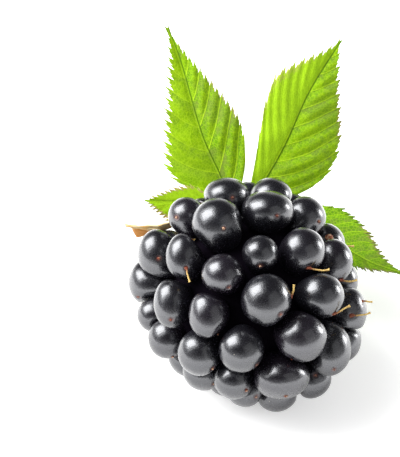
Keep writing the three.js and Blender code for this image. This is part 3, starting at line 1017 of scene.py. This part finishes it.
def stub_tree():
    """Small rough stubs, each turned to the skin that it stands on."""
    net, given = geometry_net("Stubs", {"Height": "Float", "Roughness": "Float", "Material": "Material"})
    knob = net.node("GeometryNodeMeshIcoSphere", None, {"Radius": 1.0, "Subdivisions": 3})
    turned = net.turned_to(net.stored("normal_way", "FLOAT_VECTOR"))
    spread = net.stored("spread")
    size = net.vector(spread, spread * 0.8, spread * given["Height"])
    placed = net.placed(given["Geometry"], knob, turned, size)
    real = net.node("GeometryNodeRealizeInstances", None, {"Geometry": placed})
    position = net.node("GeometryNodeInputPosition")
    lumps = (net.noise(position, 7000.0, 1.0) - 0.5) * given["Roughness"]
    rough = net.node("GeometryNodeSetPosition", None, {
        "Geometry": real, "Offset": net.node("GeometryNodeInputNormal") * lumps})
    marked = net.store(rough, "along", net.noise(position, 3500.0, 1.0).rising(0.4, 0.62) * 0.8)
    return end_tree(net, marked, given["Material"])


def make_stubs(stubs, finish):
    plan = points_mesh("style_stubs", [place for place, _, _ in stubs], {
        "normal_way": [normal for _, normal, _ in stubs],
        "spread": [size for _, _, size in stubs],
    })
    piece = grow("style_stubs", plan, stub_tree(), {
        "Height": 0.7, "Roughness": 0.16 * MM, "Material": finish})
    hand_over(piece, "sepal")


# ---------------------------------------------------------------------------------------------
# Sheets: leaflets and sepals
# ---------------------------------------------------------------------------------------------


def sheet_mesh(name, upper, lower, attributes):
    """A closed thin solid between two nets of points, each of rows by columns by 3 numbers."""
    rows, columns, _ = upper.shape
    shift = rows * columns
    grid = np.arange(shift).reshape(rows, columns)
    below = grid + shift

    def quads(a, b, c, d):
        return np.stack([part.ravel() for part in (a, b, c, d)], 1)

    faces = [
        quads(grid[:-1, :-1], grid[1:, :-1], grid[1:, 1:], grid[:-1, 1:]),
        quads(below[:-1, :-1], below[:-1, 1:], below[1:, 1:], below[1:, :-1]),
    ]
    edge = np.concatenate([grid[0, :-1], grid[:-1, -1], grid[-1, :0:-1], grid[:0:-1, 0]])
    after = np.roll(edge, -1)
    faces.append(quads(edge, after, after + shift, edge + shift))

    mesh = bpy.data.meshes.new(name)
    places = np.concatenate([upper.reshape(-1, 3), lower.reshape(-1, 3)])
    mesh.from_pydata(places.tolist(), [], np.concatenate(faces).tolist())
    for label, (on_top, below_it) in attributes.items():
        both = np.concatenate([on_top.reshape(-1, 3), below_it.reshape(-1, 3)])
        put_attribute(mesh, label, both.astype(np.float32))
    mesh.shade_smooth()
    mesh.validate()
    mesh.update()
    return mesh


def make_sheet(name, nets, attributes, finish, slot, node):
    """A sheet from its upper and its lower net of points, handed over in place of a node."""
    upper, lower = nets
    mesh = sheet_mesh(name, upper * MM, lower * MM, attributes)
    mesh.materials.append(finish)
    hand_over(add_piece(name, mesh), slot, node)


def hill(distance, half_width):
    """1 at no distance, and next to nothing past twice the half-width."""
    return math.exp(-(distance / half_width) ** 2)


DRIP = 0.1                  # of the half-width, that runs on almost to the point
FAN = 0.14                  # share of the rows that fan out from the foot
FAN_LENGTH = 0.03           # of the midrib
FAN_ANGLE = 96              # degrees from the midrib of the first row at the foot
POINT_TURN = 0.35           # of its angle that a row loses towards the point
VEIN_SPACING = 0.92         # below 1 the side veins stand closer together at the foot
VEIN_BOW = 0.05             # of its length, that a side vein bows
TOOTH_START = 0.72          # of the way from the midrib to the edge, where the teeth set in
LARGE_TEETH = 0.62
SMALL_TEETH = 0.38          # three of them to a large one
TOOTH_INSET = 0.40          # how far the notches go in, as a part of a tooth's depth


def half_outline(half, along):
    """Half-width of a blade at a place along it, from 0 at the foot to 1 at the point."""
    along = min(max(along, 0.0), 1.0)
    if along < half.widest:
        return half.width * math.sin(0.5 * math.pi * along / half.widest) ** half.foot
    past = (along - half.widest) / (1 - half.widest)
    body = (1 - past ** half.shoulder) ** half.narrowing
    return half.width * ((1 - DRIP) * body + DRIP * (1 - past ** 3))


def vein_reach(half, size, start, angle):
    """How far a side vein runs from the midrib to the edge."""
    low = 0.02 * size
    high = 3 * half.width
    for _ in range(40):
        middle = 0.5 * (low + high)
        inside = middle * math.sin(angle) < half_outline(half, (start + middle * math.cos(angle)) / size)
        low, high = (middle, high) if inside else (low, middle)
    return low


def tooth_at(half, phase):
    """How far the edge stands out, from the notches (below 0) to the points of the teeth."""
    large = ((half.teeth * phase) % 1) ** 1.3
    small = (3 * half.teeth * phase) % 1
    return LARGE_TEETH * large + SMALL_TEETH * small - TOOTH_INSET


def blade_plan(half, size, veins, settings):
    """Flat places of one half: along the midrib, across it, and each row's vein count."""
    rows = settings.rows
    columns = settings.columns
    along = np.zeros((rows + 1, columns + 1))
    across = np.zeros((rows + 1, columns + 1))
    phases = np.zeros(rows + 1)
    for row in range(rows + 1):
        part = row / rows
        opened = min(1.0, part / FAN)
        past_fan = max(0.0, (part - FAN) / (1 - FAN))
        start = (FAN_LENGTH * opened + (1 - FAN_LENGTH) * past_fan) * size
        angle = FAN_ANGLE + (half.angle - FAN_ANGLE) * opened ** 0.8
        angle = math.radians(angle * (1 - POINT_TURN * past_fan ** 2))
        phase = veins * part ** VEIN_SPACING
        reach = vein_reach(half, size, start, angle)
        deep = settings.tooth / MM * half.bite * min(1.0, reach / (0.4 * half.width))
        bite = deep * tooth_at(half, phase)
        phases[row] = phase
        for column in range(columns + 1):
            share = (column / columns) ** 0.9
            blend_in = max(0.0, (share - TOOTH_START) / (1 - TOOTH_START))
            run = share * (reach + bite * blend_in)
            bow = VEIN_BOW * reach * math.sin(math.pi * share)
            along[row, column] = start + run * math.cos(angle) - bow
            across[row, column] = run * math.sin(angle) + bow * 0.4
    return along, across, phases


def midrib_frame(leaflet, steps):
    """Places along the midrib with the way forward, sideways and up at each."""
    places = smooth_path([Vector(place) + MIDDLE for place in leaflet.midrib], steps)
    face = Vector(leaflet.face).normalized()
    frames = []
    for index, place in enumerate(places):
        ahead = places[min(index + 1, steps)] - places[max(index - 1, 0)]
        forward = ahead.normalized()
        sideways = forward.cross(face).normalized()
        frames.append((place, forward, sideways, sideways.cross(forward).normalized()))
    return frames


def frame_at(frames, share):
    """The frame at a share of the midrib, from 0 at the foot to 1 at the point."""
    steps = len(frames) - 1
    at = min(max(share, 0.0), 1.0) * steps
    low = min(int(at), steps - 1)
    return [first.lerp(second, at - low) for first, second in zip(frames[low], frames[low + 1])]


MIDRIB_STEPS = 120
CRUMPLE = 0.22               # how far the blade rises and falls at random
CRUMPLE_WAVES = 0.35         # to a millimetre
SAG = 0.035                  # millimetres that the blade droops one millimetre out
FURROW = (0.10, 0.22)        # depth and half-width of the furrow along the upper side
MIDRIB = (0.32, 0.28)        # height and half-width of the midrib on the under side
SIDE_RIB = (0.10, 0.07)      # height of a side vein there, and its half-width as a part of a pleat


def blade_rise(half, pleat_height, phase, share, out, blowing):
    """How far a blade stands above its flat plan, with its fold, pleats, crumples and sag."""
    ridge = 0.5 - 0.5 * math.cos(2 * math.pi * phase)
    swell = min(1.0, share / 0.3) * (1 - 0.35 * share) * min(1.0, out / 1.2)
    pleat = pleat_height * (0.3 + 0.6 * min(1.0, max(0.0, half.dull)))
    rise = half.fold * out + pleat * (ridge ** 0.75) * swell
    rise += CRUMPLE * noise.noise(blowing) * min(1.0, out / 1.5)
    return rise - SAG * out * out


def make_leaflet(name, settings, finish):
    leaflet = LEAFLETS[name]
    frames = midrib_frame(leaflet, MIDRIB_STEPS)
    size = sum((after[0] - before[0]).length for before, after in zip(frames, frames[1:]))
    seed = Vector((len(name) * 3.7, size, 0))
    thickness = settings.thickness / MM
    pleat_height = settings.pleat / MM
    rows = settings.rows + 1
    columns = settings.columns
    upper = np.zeros((rows, 2 * columns + 1, 3))
    lower = np.zeros_like(upper)
    veins = np.zeros_like(upper)
    blade = np.zeros_like(upper)
    for side, half in ((-1, leaflet.port), (1, leaflet.starboard)):
        along, across, phases = blade_plan(half, size, leaflet.veins, settings)
        for row in range(rows):
            phase = phases[row]
            to_vein = min(phase % 1, 1 - phase % 1)
            for column in range(columns + 1):
                share = column / columns
                far = along[row, column]
                out = across[row, column]
                base, forward, sideways, up = frame_at(frames, far / size)
                overrun = far - min(max(far, 0.0), size)
                blowing = Vector((far * CRUMPLE_WAVES, side * out * CRUMPLE_WAVES, 0)) + seed
                rise = blade_rise(half, pleat_height, phase, share, out, blowing)
                place = base + forward * overrun + sideways * (side * out) + up * rise
                rib = MIDRIB[0] * hill(out, MIDRIB[1]) * (1 - 0.7 * far / size)
                side_rib = SIDE_RIB[0] * hill(to_vein, SIDE_RIB[1]) * (1 - share)
                at = (row, columns + side * column)
                upper[at] = place - up * (FURROW[0] * hill(out, FURROW[1]))
                lower[at] = place - up * (thickness + rib + side_rib)
                veins[at] = (phase, side * out * MM, 0)
                blade[at] = (far / size, share, half.dull)
    under = veins.copy()
    under[:, :, 2] = 1
    attributes = {"veins": (veins, under), "blade": (blade, blade)}
    make_sheet(name.replace("leaflet", "blade"), (upper, lower), attributes, finish, "leaf", name)


def make_leaflets(context):
    settings = context.scene.bramble_leaf
    finish = leaf_finish(settings)
    for name in LEAFLETS:
        make_leaflet(name, settings, finish)


SEPAL_ROWS = 56
SEPAL_COLUMNS = 18           # in each half
SEPAL_HALF_THICKNESS = 0.10  # at the edges, and twice that in the middle of the foot
SEPAL_CUP = 0.28             # how far the edges curl up, as a part of the half-width
SEPAL_CRUMPLE = 0.16
FLAP_PLACE = 0.74            # of the sepal's length
FLAP_REACH = 0.16            # of the sepal's length, to either side of that


def make_sepal(index, finish):
    """One sepal in the fruit's own axes: cupped, pointed, curled and twisted."""
    turn, size, lean, bow, half_width, twist, flap = SEPALS[index]
    chance = random.Random(index + 40)
    outward = direction(90, turn)
    around = direction(90, turn + 90)
    backward = Vector((0, 0, -1))
    columns = SEPAL_COLUMNS
    upper = np.zeros((SEPAL_ROWS + 1, 2 * columns + 1, 3))
    lower = np.zeros_like(upper)
    blade = np.zeros_like(upper)
    offset = Vector((chance.uniform(0, 50), chance.uniform(0, 50), 0))
    for row in range(SEPAL_ROWS + 1):
        along = row / SEPAL_ROWS
        width = half_width * (1 - along ** 1.6) ** 0.85 * (0.8 + 0.45 * math.sin(math.pi * along)) + 0.05
        angle = math.radians(twist * along ** 1.5)
        spine = outward * (SEPAL_FOOT + size * along)
        spine += backward * (SEPAL_BACK - lean * along ** 2.2 - bow * math.sin(math.pi * along))
        hanging = flap * max(0.0, 1 - abs(along - FLAP_PLACE) / FLAP_REACH) ** 0.8
        across_way = around * math.cos(angle) + backward * math.sin(angle)
        up_way = backward * math.cos(angle) - around * math.sin(angle)
        for column in range(-columns, columns + 1):
            share = column / columns
            flap_here = hanging * max(0.0, share)
            curl = SEPAL_CUP * width * share ** 2 * (1 + 0.8 * along)
            blowing = Vector((along * 7, share * 2.2, 0)) + offset
            crumple = SEPAL_CRUMPLE * noise.noise(blowing) * min(1, along * 4)
            place = spine + across_way * (share * (width + flap_here)) + up_way * (curl + crumple)
            thick = SEPAL_HALF_THICKNESS * (1 + (1 - share * share) * (1 - along))
            upper[row, columns + column] = from_axes(place + up_way * thick) + MIDDLE
            lower[row, columns + column] = from_axes(place - up_way * thick) + MIDDLE
            blade[row, columns + column] = (along, share, min(1.0, flap_here))
    node = f"sepal_{index + 1}"
    make_sheet(f"dried_{node}", (upper, lower), {"blade": (blade, blade)}, finish, "sepal", node)


# ---------------------------------------------------------------------------------------------
# Calyx and stamens
# ---------------------------------------------------------------------------------------------

CALYX_SIDES = 72
CALYX_STEPS = 40
CALYX_LOBE = 0.05            # how far the cup bulges towards each of its five sepals
CALYX_FUZZ = 0.02            # how uneven it is


def calyx_radius(step, around):
    """The cup's radius at one step of its profile, in the direction around."""
    lobe = 1 + CALYX_LOBE * math.cos(5 * (around - math.radians(SEPALS[0][0]))) * min(1, step.x / 4)
    place = Vector((math.cos(around) * 3, math.sin(around) * 3, step.z * 2))
    fuzz = 1 + CALYX_FUZZ * noise.noise(place)
    return max(step.x, 0.02) * lobe * fuzz


def calyx_mesh():
    """A closed cup: rings of points down its profile, with a pole at either end."""
    profile = smooth_path([Vector((radius, 0, back)) for radius, back in CALYX_PROFILE], CALYX_STEPS)
    places = []
    for step in profile[1:-1]:
        for side in range(CALYX_SIDES):
            around = 2 * math.pi * side / CALYX_SIDES
            radius = calyx_radius(step, around)
            place = Vector((radius * math.cos(around), radius * math.sin(around), -step.z))
            places.append(in_metres(place))
    rings = len(profile) - 2
    poles = [in_metres(Vector((0, 0, -profile[end].z))) for end in (0, -1)]
    faces = []
    for ring in range(rings - 1):
        for side in range(CALYX_SIDES):
            ahead = (side + 1) % CALYX_SIDES
            row = ring * CALYX_SIDES
            faces.append((row + side, row + side + CALYX_SIDES, row + ahead + CALYX_SIDES, row + ahead))
    first = rings * CALYX_SIDES
    last_row = (rings - 1) * CALYX_SIDES
    for side in range(CALYX_SIDES):
        ahead = (side + 1) % CALYX_SIDES
        faces.append((side, ahead, first))
        faces.append((last_row + ahead, last_row + side, first + 1))
    mesh = bpy.data.meshes.new("calyx_cup")
    mesh.from_pydata([tuple(place) for place in places + poles], [], faces)
    mesh.shade_smooth()
    mesh.update()
    return mesh


def make_calyx(context):
    settings = context.scene.bramble_calyx
    mesh = calyx_mesh()
    mesh.materials.append(downy_finish(settings))
    hand_over(add_piece("calyx_cup", mesh), "calyx", "calyx")
    make_stamens(settings)
    dry = dry_finish(settings)
    for index in range(len(SEPALS)):
        make_sepal(index, dry)


STAMEN_OUT = (2.3, 2.75)     # least and most distance of a stamen's foot from the fruit's axis
STAMEN_BACK = (12.15, 12.4)  # and behind the fruit's middle
STAMEN_RADII = (0.07, 0.06, 0.05, 0.05, 0.13, 0.11)     # from its foot to the anther on its end


def make_stamens(settings):
    """A ring of short dried stamens between the calyx and the fruit."""
    chance = random.Random(21)
    paths = []
    for index in range(settings.stamens):
        turn = 360 * index / settings.stamens + chance.uniform(-4, 4)
        outward = direction(90, turn)
        sideways = direction(90, turn + 90) * chance.uniform(-0.5, 0.5)
        start = outward * chance.uniform(*STAMEN_OUT) + Vector((0, 0, -chance.uniform(*STAMEN_BACK)))
        size = settings.stamen / MM * chance.uniform(0.6, 1.1)
        steps = len(STAMEN_RADII)
        places = []
        for step in range(steps):
            part = step / (steps - 1)
            lift = Vector((0, 0, 0.15 * part + chance.uniform(-0.05, 0.05)))
            place = start + (outward + sideways * part).normalized() * size * part + lift
            places.append(in_metres(place))
        paths.append((places, [radius * MM for radius in STAMEN_RADII]))
    finish = style_finish("dried_stamen", (0.20, 0.09, 0.04), settings.dry)
    piece = grow("stamens", curves("stamens", paths), thread_tree(), {"Sides": 5, "Material": finish})
    hand_over(piece, "sepal")


# ---------------------------------------------------------------------------------------------
# Stalks with prickles and hairs
# ---------------------------------------------------------------------------------------------


def stalk_tree():
    """A ribbed stalk along a curve, with caps."""
    net, given = geometry_net("Stalk", {"Sides": "Int", "Ribs": "Int", "Rib": "Float", "Bark": "Material"})
    along = net.node("GeometryNodeSplineParameter", None, None, "Length")
    marked = net.store(given["Geometry"], "along", along)
    around = net.node("GeometryNodeSplineParameter")
    ribs = 1 + (around * given["Ribs"] * (2 * math.pi)).cosine() * given["Rib"]
    ribbed = net.node("GeometryNodeSetPosition", None, {
        "Geometry": net.circle(given["Sides"]), "Position": net.node("GeometryNodeInputPosition") * ribs})
    section = net.store(ribbed, "around", around)
    bark = net.vector(net.stored("along"), net.stored("around"))
    painted = net.store(net.sweep(marked, section), "bark", bark, "FLOAT_VECTOR")
    return end_tree(net, painted, given["Bark"])


def spine_tree():
    """Prickles or hairs scattered over a stalk, each leaning a little from its normal."""
    net, given = geometry_net("Spines", {
        "Density": "Float", "Height": "Float", "Radius": "Float", "Lowest": "Float", "Highest": "Float",
        "Seed": "Int", "Material": "Material"})
    level = net.node("GeometryNodeInputPosition").parts()[2]
    above = level.maths("GREATER_THAN", level, given["Lowest"])
    clear = above * level.maths("LESS_THAN", level, given["Highest"])
    scatter = net.node("GeometryNodeDistributePointsOnFaces", None, {
        "Mesh": given["Geometry"], "Selection": clear, "Density": given["Density"], "Seed": given["Seed"]})
    cone = net.node("GeometryNodeMeshCone", None, {
        "Vertices": 6, "Side Segments": 4, "Radius Top": 0.04, "Radius Bottom": 1.0, "Depth": 1.0}, "Mesh")
    height = net.node("GeometryNodeInputPosition").parts()[2]
    bent = net.node("GeometryNodeSetPosition", None, {
        "Geometry": cone, "Offset": net.vector(height * height * 2.5)})
    marked = net.store(bent, "along", height)
    varied = net.node(
        "FunctionNodeRandomValue", {"data_type": "FLOAT"}, {2: 0.55, 3: 1.2, "Seed": given["Seed"]}, 1)
    wide = given["Radius"] * varied
    size = net.vector(wide, wide, given["Height"] * varied)
    lean = net.node("FunctionNodeRotateRotation", {"rotation_space": "LOCAL"}, {
        "Rotation": scatter.also("Rotation"),
        "Rotate By": net.node("FunctionNodeRandomValue", {"data_type": "FLOAT_VECTOR"}, {
            0: (-0.3, -0.3, 0.0), 1: (0.3, 0.3, 6.28), "Seed": given["Seed"]})})
    return end_tree(net, net.placed(scatter, marked, lean, size), given["Material"])


FOOT_SWELLING = (0.16, 0.05)     # how much thicker a stalk is at its start, and how far along that goes
END_SWELLING = (0.10, 0.03)      # and at its end
UNEVENNESS = 0.04


def stalk_path(places, radius, steps, wobble_seed):
    """A stalk's places and radii in metres, a little thicker at both ends."""
    path = smooth_path([Vector(place) + MIDDLE for place in places], steps)
    radii = []
    for step in range(steps + 1):
        part = step / steps
        swollen = 1 + FOOT_SWELLING[0] * hill(part, FOOT_SWELLING[1])
        swollen += END_SWELLING[0] * hill(1 - part, END_SWELLING[1])
        uneven = 1 + UNEVENNESS * noise.noise(Vector((part * 9, wobble_seed, 0)))
        radii.append(radius * swollen * uneven)
    return [place * MM for place in path], radii


SPINE_CLEARANCE = 1.4        # times a spine's height, from the floor to the lowest spines
SPINE_TOP = 12.2             # millimetres above the floor, past which the stalks are smooth


def make_stalks(context):
    settings = context.scene.bramble_stalks
    bark = bark_finish(settings)
    spines = prickle_finish()
    tree = stalk_tree()
    fruit_path = stalk_path(FRUIT_STALK, settings.fruit_radius, 90, 1.0)
    fruit_stalk = grow("fruit_stalk_bark", curves("fruit_stalk_line", [fruit_path]), tree, {
        "Sides": 40, "Ribs": 5, "Rib": 0.05, "Bark": bark})
    paths = [stalk_path(LEAF_STALK, settings.leaf_radius, 30, 2.0)]
    for leaflet in LEAFLETS.values():
        foot, ahead = (Vector(place) for place in leaflet.midrib[:2])
        end = Vector(LEAF_STALK[-1])
        reach = foot + (ahead - foot).normalized() * 0.6
        paths.append(stalk_path([end, (end + foot) / 2, foot, reach], settings.foot_radius, 16, foot.x))
    leaf_stalk = grow("leaf_stalk_bark", curves("leaf_stalk_line", paths), tree, {
        "Sides": 24, "Ribs": 3, "Rib": 0.07, "Bark": bark})
    for stalk in (fruit_stalk, leaf_stalk):
        hand_over(stalk, "stalk", stalk.name.removesuffix("_bark"))
    spine = spine_tree()
    for stalk, kind, density, height, radius, seed in (
            (fruit_stalk, "prickles", settings.prickles, 0.75, 0.16, 3),
            (leaf_stalk, "prickles", settings.prickles, 0.5, 0.12, 4),
            (fruit_stalk, "hairs", settings.hairs, 0.34, 0.02, 5),
            (leaf_stalk, "hairs", settings.hairs, 0.30, 0.018, 6)):
        piece = grow(f"{stalk.name.removesuffix('_bark')}_{kind}", stalk.data.copy(), spine, {
            "Density": density / MM ** 2, "Height": height * MM, "Radius": radius * MM,
            "Lowest": SPINE_CLEARANCE * height * MM, "Highest": SPINE_TOP * MM, "Seed": seed,
            "Material": spines})
        hand_over(piece, "stalk")


# ---------------------------------------------------------------------------------------------
# Stage, lamps and camera
# ---------------------------------------------------------------------------------------------

CAMERA_LEFT = 5.44           # millimetres from straight in front of the fruit's middle
CAMERA_RISE = 7.72           # millimetres above that, square to the view
CAMERA_LENS = 163            # millimetres
SENSOR_WIDTH = 36            # millimetres
NEAREST_SEEN = 0.01          # metres from the camera
FLOOR_SIZE = 4.0             # metres
WHITE = (1, 1, 1)
KEY_WAY = (-0.68, 0.02, 0.73)    # from the fruit towards the key lamp


def lamp(name, way, distance, size, brightness):
    """A soft lamp that shines on the fruit from the way given. Distance and size are in metres."""
    data = bpy.data.lights.new(name, "AREA")
    data.shape = "RECTANGLE"
    data.size, data.size_y = size
    data.energy = brightness * math.pi * size[0] * size[1]
    made = bpy.data.objects.new(name, data)
    bpy.context.collection.objects.link(made)
    way = Vector(way).normalized()
    made.location = MIDDLE * MM + way * distance
    made.rotation_euler = way.to_track_quat("Z", "Y").to_euler()


def make_floor(settings):
    """White paper. Its glow is for the camera and for what is mirrored, so it lights nothing."""
    mesh = bpy.data.meshes.new("floor")
    half = FLOOR_SIZE / 2
    corners = [(-half, -half, 0), (half, -half, 0), (half, half, 0), (-half, half, 0)]
    mesh.from_pydata(corners, [], [(0, 1, 2, 3)])
    made, net = material("floor_paper")
    seen = net.node("ShaderNodeLightPath", None, None, "Is Camera Ray")
    mirrored = net.node("ShaderNodeLightPath", None, None, "Is Glossy Ray")
    matt = net.node("ShaderNodeBsdfDiffuse", None, {"Color": settings.floor})
    place = object_place(net)
    away = place.size()
    behind = place.parts()[1].rising(4 * MM, 28 * MM)
    bright = 0.45 + away.rising(10 * MM, 90 * MM) * 0.6
    shine = (0.25 + away.rising(10 * MM, 60 * MM) * 1.05) * (1 - away.rising(60 * MM, 300 * MM) * 0.80)
    glow = net.node("ShaderNodeEmission", None, {
        "Color": WHITE, "Strength": seen * bright + mirrored * shine.at_least(behind)})
    both = net.node("ShaderNodeAddShader", None, {0: matt, 1: glow})
    net.node("ShaderNodeOutputMaterial", None, {"Surface": both})
    mesh.materials.append(made)
    add_piece("floor", mesh)


def make_world(settings):
    """White to the camera. Otherwise a dim studio that is white low down behind the berry."""
    world = bpy.data.worlds.new("studio")
    bpy.context.scene.world = world
    world.use_nodes = True
    net = Net(world.node_tree)
    seen = net.node("ShaderNodeLightPath", None, None, "Is Camera Ray")
    way = net.node("ShaderNodeTexCoord", None, None, "Generated")
    _, back, rise = way.parts()
    low = 1 - rise.rising(0.06, 0.50)
    behind = back.rising(-0.2, 0.5)
    dim = 0.03 + low * behind * 0.97 + low * (1 - behind) * 0.42
    mirrored = net.node("ShaderNodeLightPath", None, None, "Is Glossy Ray")
    strength = seen + mirrored * dim + (1 - seen - mirrored) * settings.ambient
    sky = net.node("ShaderNodeBackground", None, {"Color": WHITE, "Strength": strength})
    net.node("ShaderNodeOutputWorld", None, {"Surface": sky})


def make_camera(settings):
    right = Vector((1, 0, 0))
    data = bpy.data.cameras.new("camera")
    data.lens = CAMERA_LENS
    data.sensor_width = SENSOR_WIDTH
    data.clip_start = NEAREST_SEEN
    made = bpy.data.objects.new("camera", data)
    bpy.context.collection.objects.link(made)
    place = MIDDLE * MM - VIEW * settings.distance - right * CAMERA_LEFT * MM + UPRIGHT * CAMERA_RISE * MM
    turned = Matrix((right, UPRIGHT, -VIEW)).transposed().to_4x4()
    made.matrix_world = Matrix.Translation(place) @ turned
    bpy.context.scene.camera = made


def make_stage(context):
    settings = context.scene.bramble_stage
    context.scene.view_settings.view_transform = "Standard"
    make_floor(settings)
    make_world(settings)
    lamp("key", KEY_WAY, 0.36, (0.42, 0.42), settings.key)
    lamp("key_core", KEY_WAY, 0.34, (0.23, 0.27), settings.key_core)
    lamp("strip", (0.94, 0.36, 0.07), 0.34, (0.10, 0.17), settings.strip)
    lamp("fill", (0.62, -0.60, 0.50), 0.40, (0.36, 0.36), settings.fill)
    make_camera(settings)


# ---------------------------------------------------------------------------------------------
# The add-on
# ---------------------------------------------------------------------------------------------


class BRAMBLE_OT_fruit(bpy.types.Operator):
    """Grow the fruit: drupelets pressed together round a core"""

    bl_idname = "bramble.fruit"
    bl_label = "Fruit"

    def execute(self, context):
        make_fruit(context)
        return {"FINISHED"}


class BRAMBLE_OT_styles(bpy.types.Operator):
    """Put the dried styles and their stubs on the drupelets"""

    bl_idname = "bramble.styles"
    bl_label = "Dried styles"

    def execute(self, context):
        make_styles(context)
        return {"FINISHED"}


class BRAMBLE_OT_calyx(bpy.types.Operator):
    """Make the calyx with its stamens and sepals"""

    bl_idname = "bramble.calyx"
    bl_label = "Calyx and sepals"

    def execute(self, context):
        make_calyx(context)
        return {"FINISHED"}


class BRAMBLE_OT_stalks(bpy.types.Operator):
    """Make the fruit's and the leaf's stalks with prickles and hairs"""

    bl_idname = "bramble.stalks"
    bl_label = "Stalks"

    def execute(self, context):
        make_stalks(context)
        return {"FINISHED"}


class BRAMBLE_OT_leaflets(bpy.types.Operator):
    """Make the toothed and pleated leaflets"""

    bl_idname = "bramble.leaflets"
    bl_label = "Leaflets"

    def execute(self, context):
        make_leaflets(context)
        return {"FINISHED"}


class BRAMBLE_OT_stage(bpy.types.Operator):
    """Set up the floor, lamps, world and camera"""

    bl_idname = "bramble.stage"
    bl_label = "Stage"

    def execute(self, context):
        make_stage(context)
        return {"FINISHED"}


OPERATORS = [
    BRAMBLE_OT_stage, BRAMBLE_OT_fruit, BRAMBLE_OT_styles, BRAMBLE_OT_calyx, BRAMBLE_OT_stalks,
    BRAMBLE_OT_leaflets,
]


class BRAMBLE_PT_panel(bpy.types.Panel):
    """Lists what makes the berry, with its sizes and colours"""

    bl_label = "Bramble berry"
    bl_idname = "BRAMBLE_PT_panel"
    bl_space_type = "VIEW_3D"
    bl_region_type = "UI"
    bl_category = "Bramble"

    def draw(self, context):
        for operator in OPERATORS:
            self.layout.operator(operator.bl_idname)
        for name, group in SETTINGS.items():
            box = self.layout.box()
            for label in group.__annotations__:
                box.prop(getattr(context.scene, name), label)


def register():
    for group in [*SETTINGS.values(), *OPERATORS, BRAMBLE_PT_panel]:
        bpy.utils.register_class(group)
    for name, group in SETTINGS.items():
        setattr(bpy.types.Scene, name, PointerProperty(type=group))


def unregister():
    for name in SETTINGS:
        delattr(bpy.types.Scene, name)
    for group in reversed([*SETTINGS.values(), *OPERATORS, BRAMBLE_PT_panel]):
        bpy.utils.unregister_class(group)


def main():
    register()
    bpy.ops.bramble.stage()
    bpy.ops.bramble.fruit()
    bpy.ops.bramble.styles()
    bpy.ops.bramble.calyx()
    bpy.ops.bramble.stalks()
    bpy.ops.bramble.leaflets()


if __name__ == "__main__":
    main()
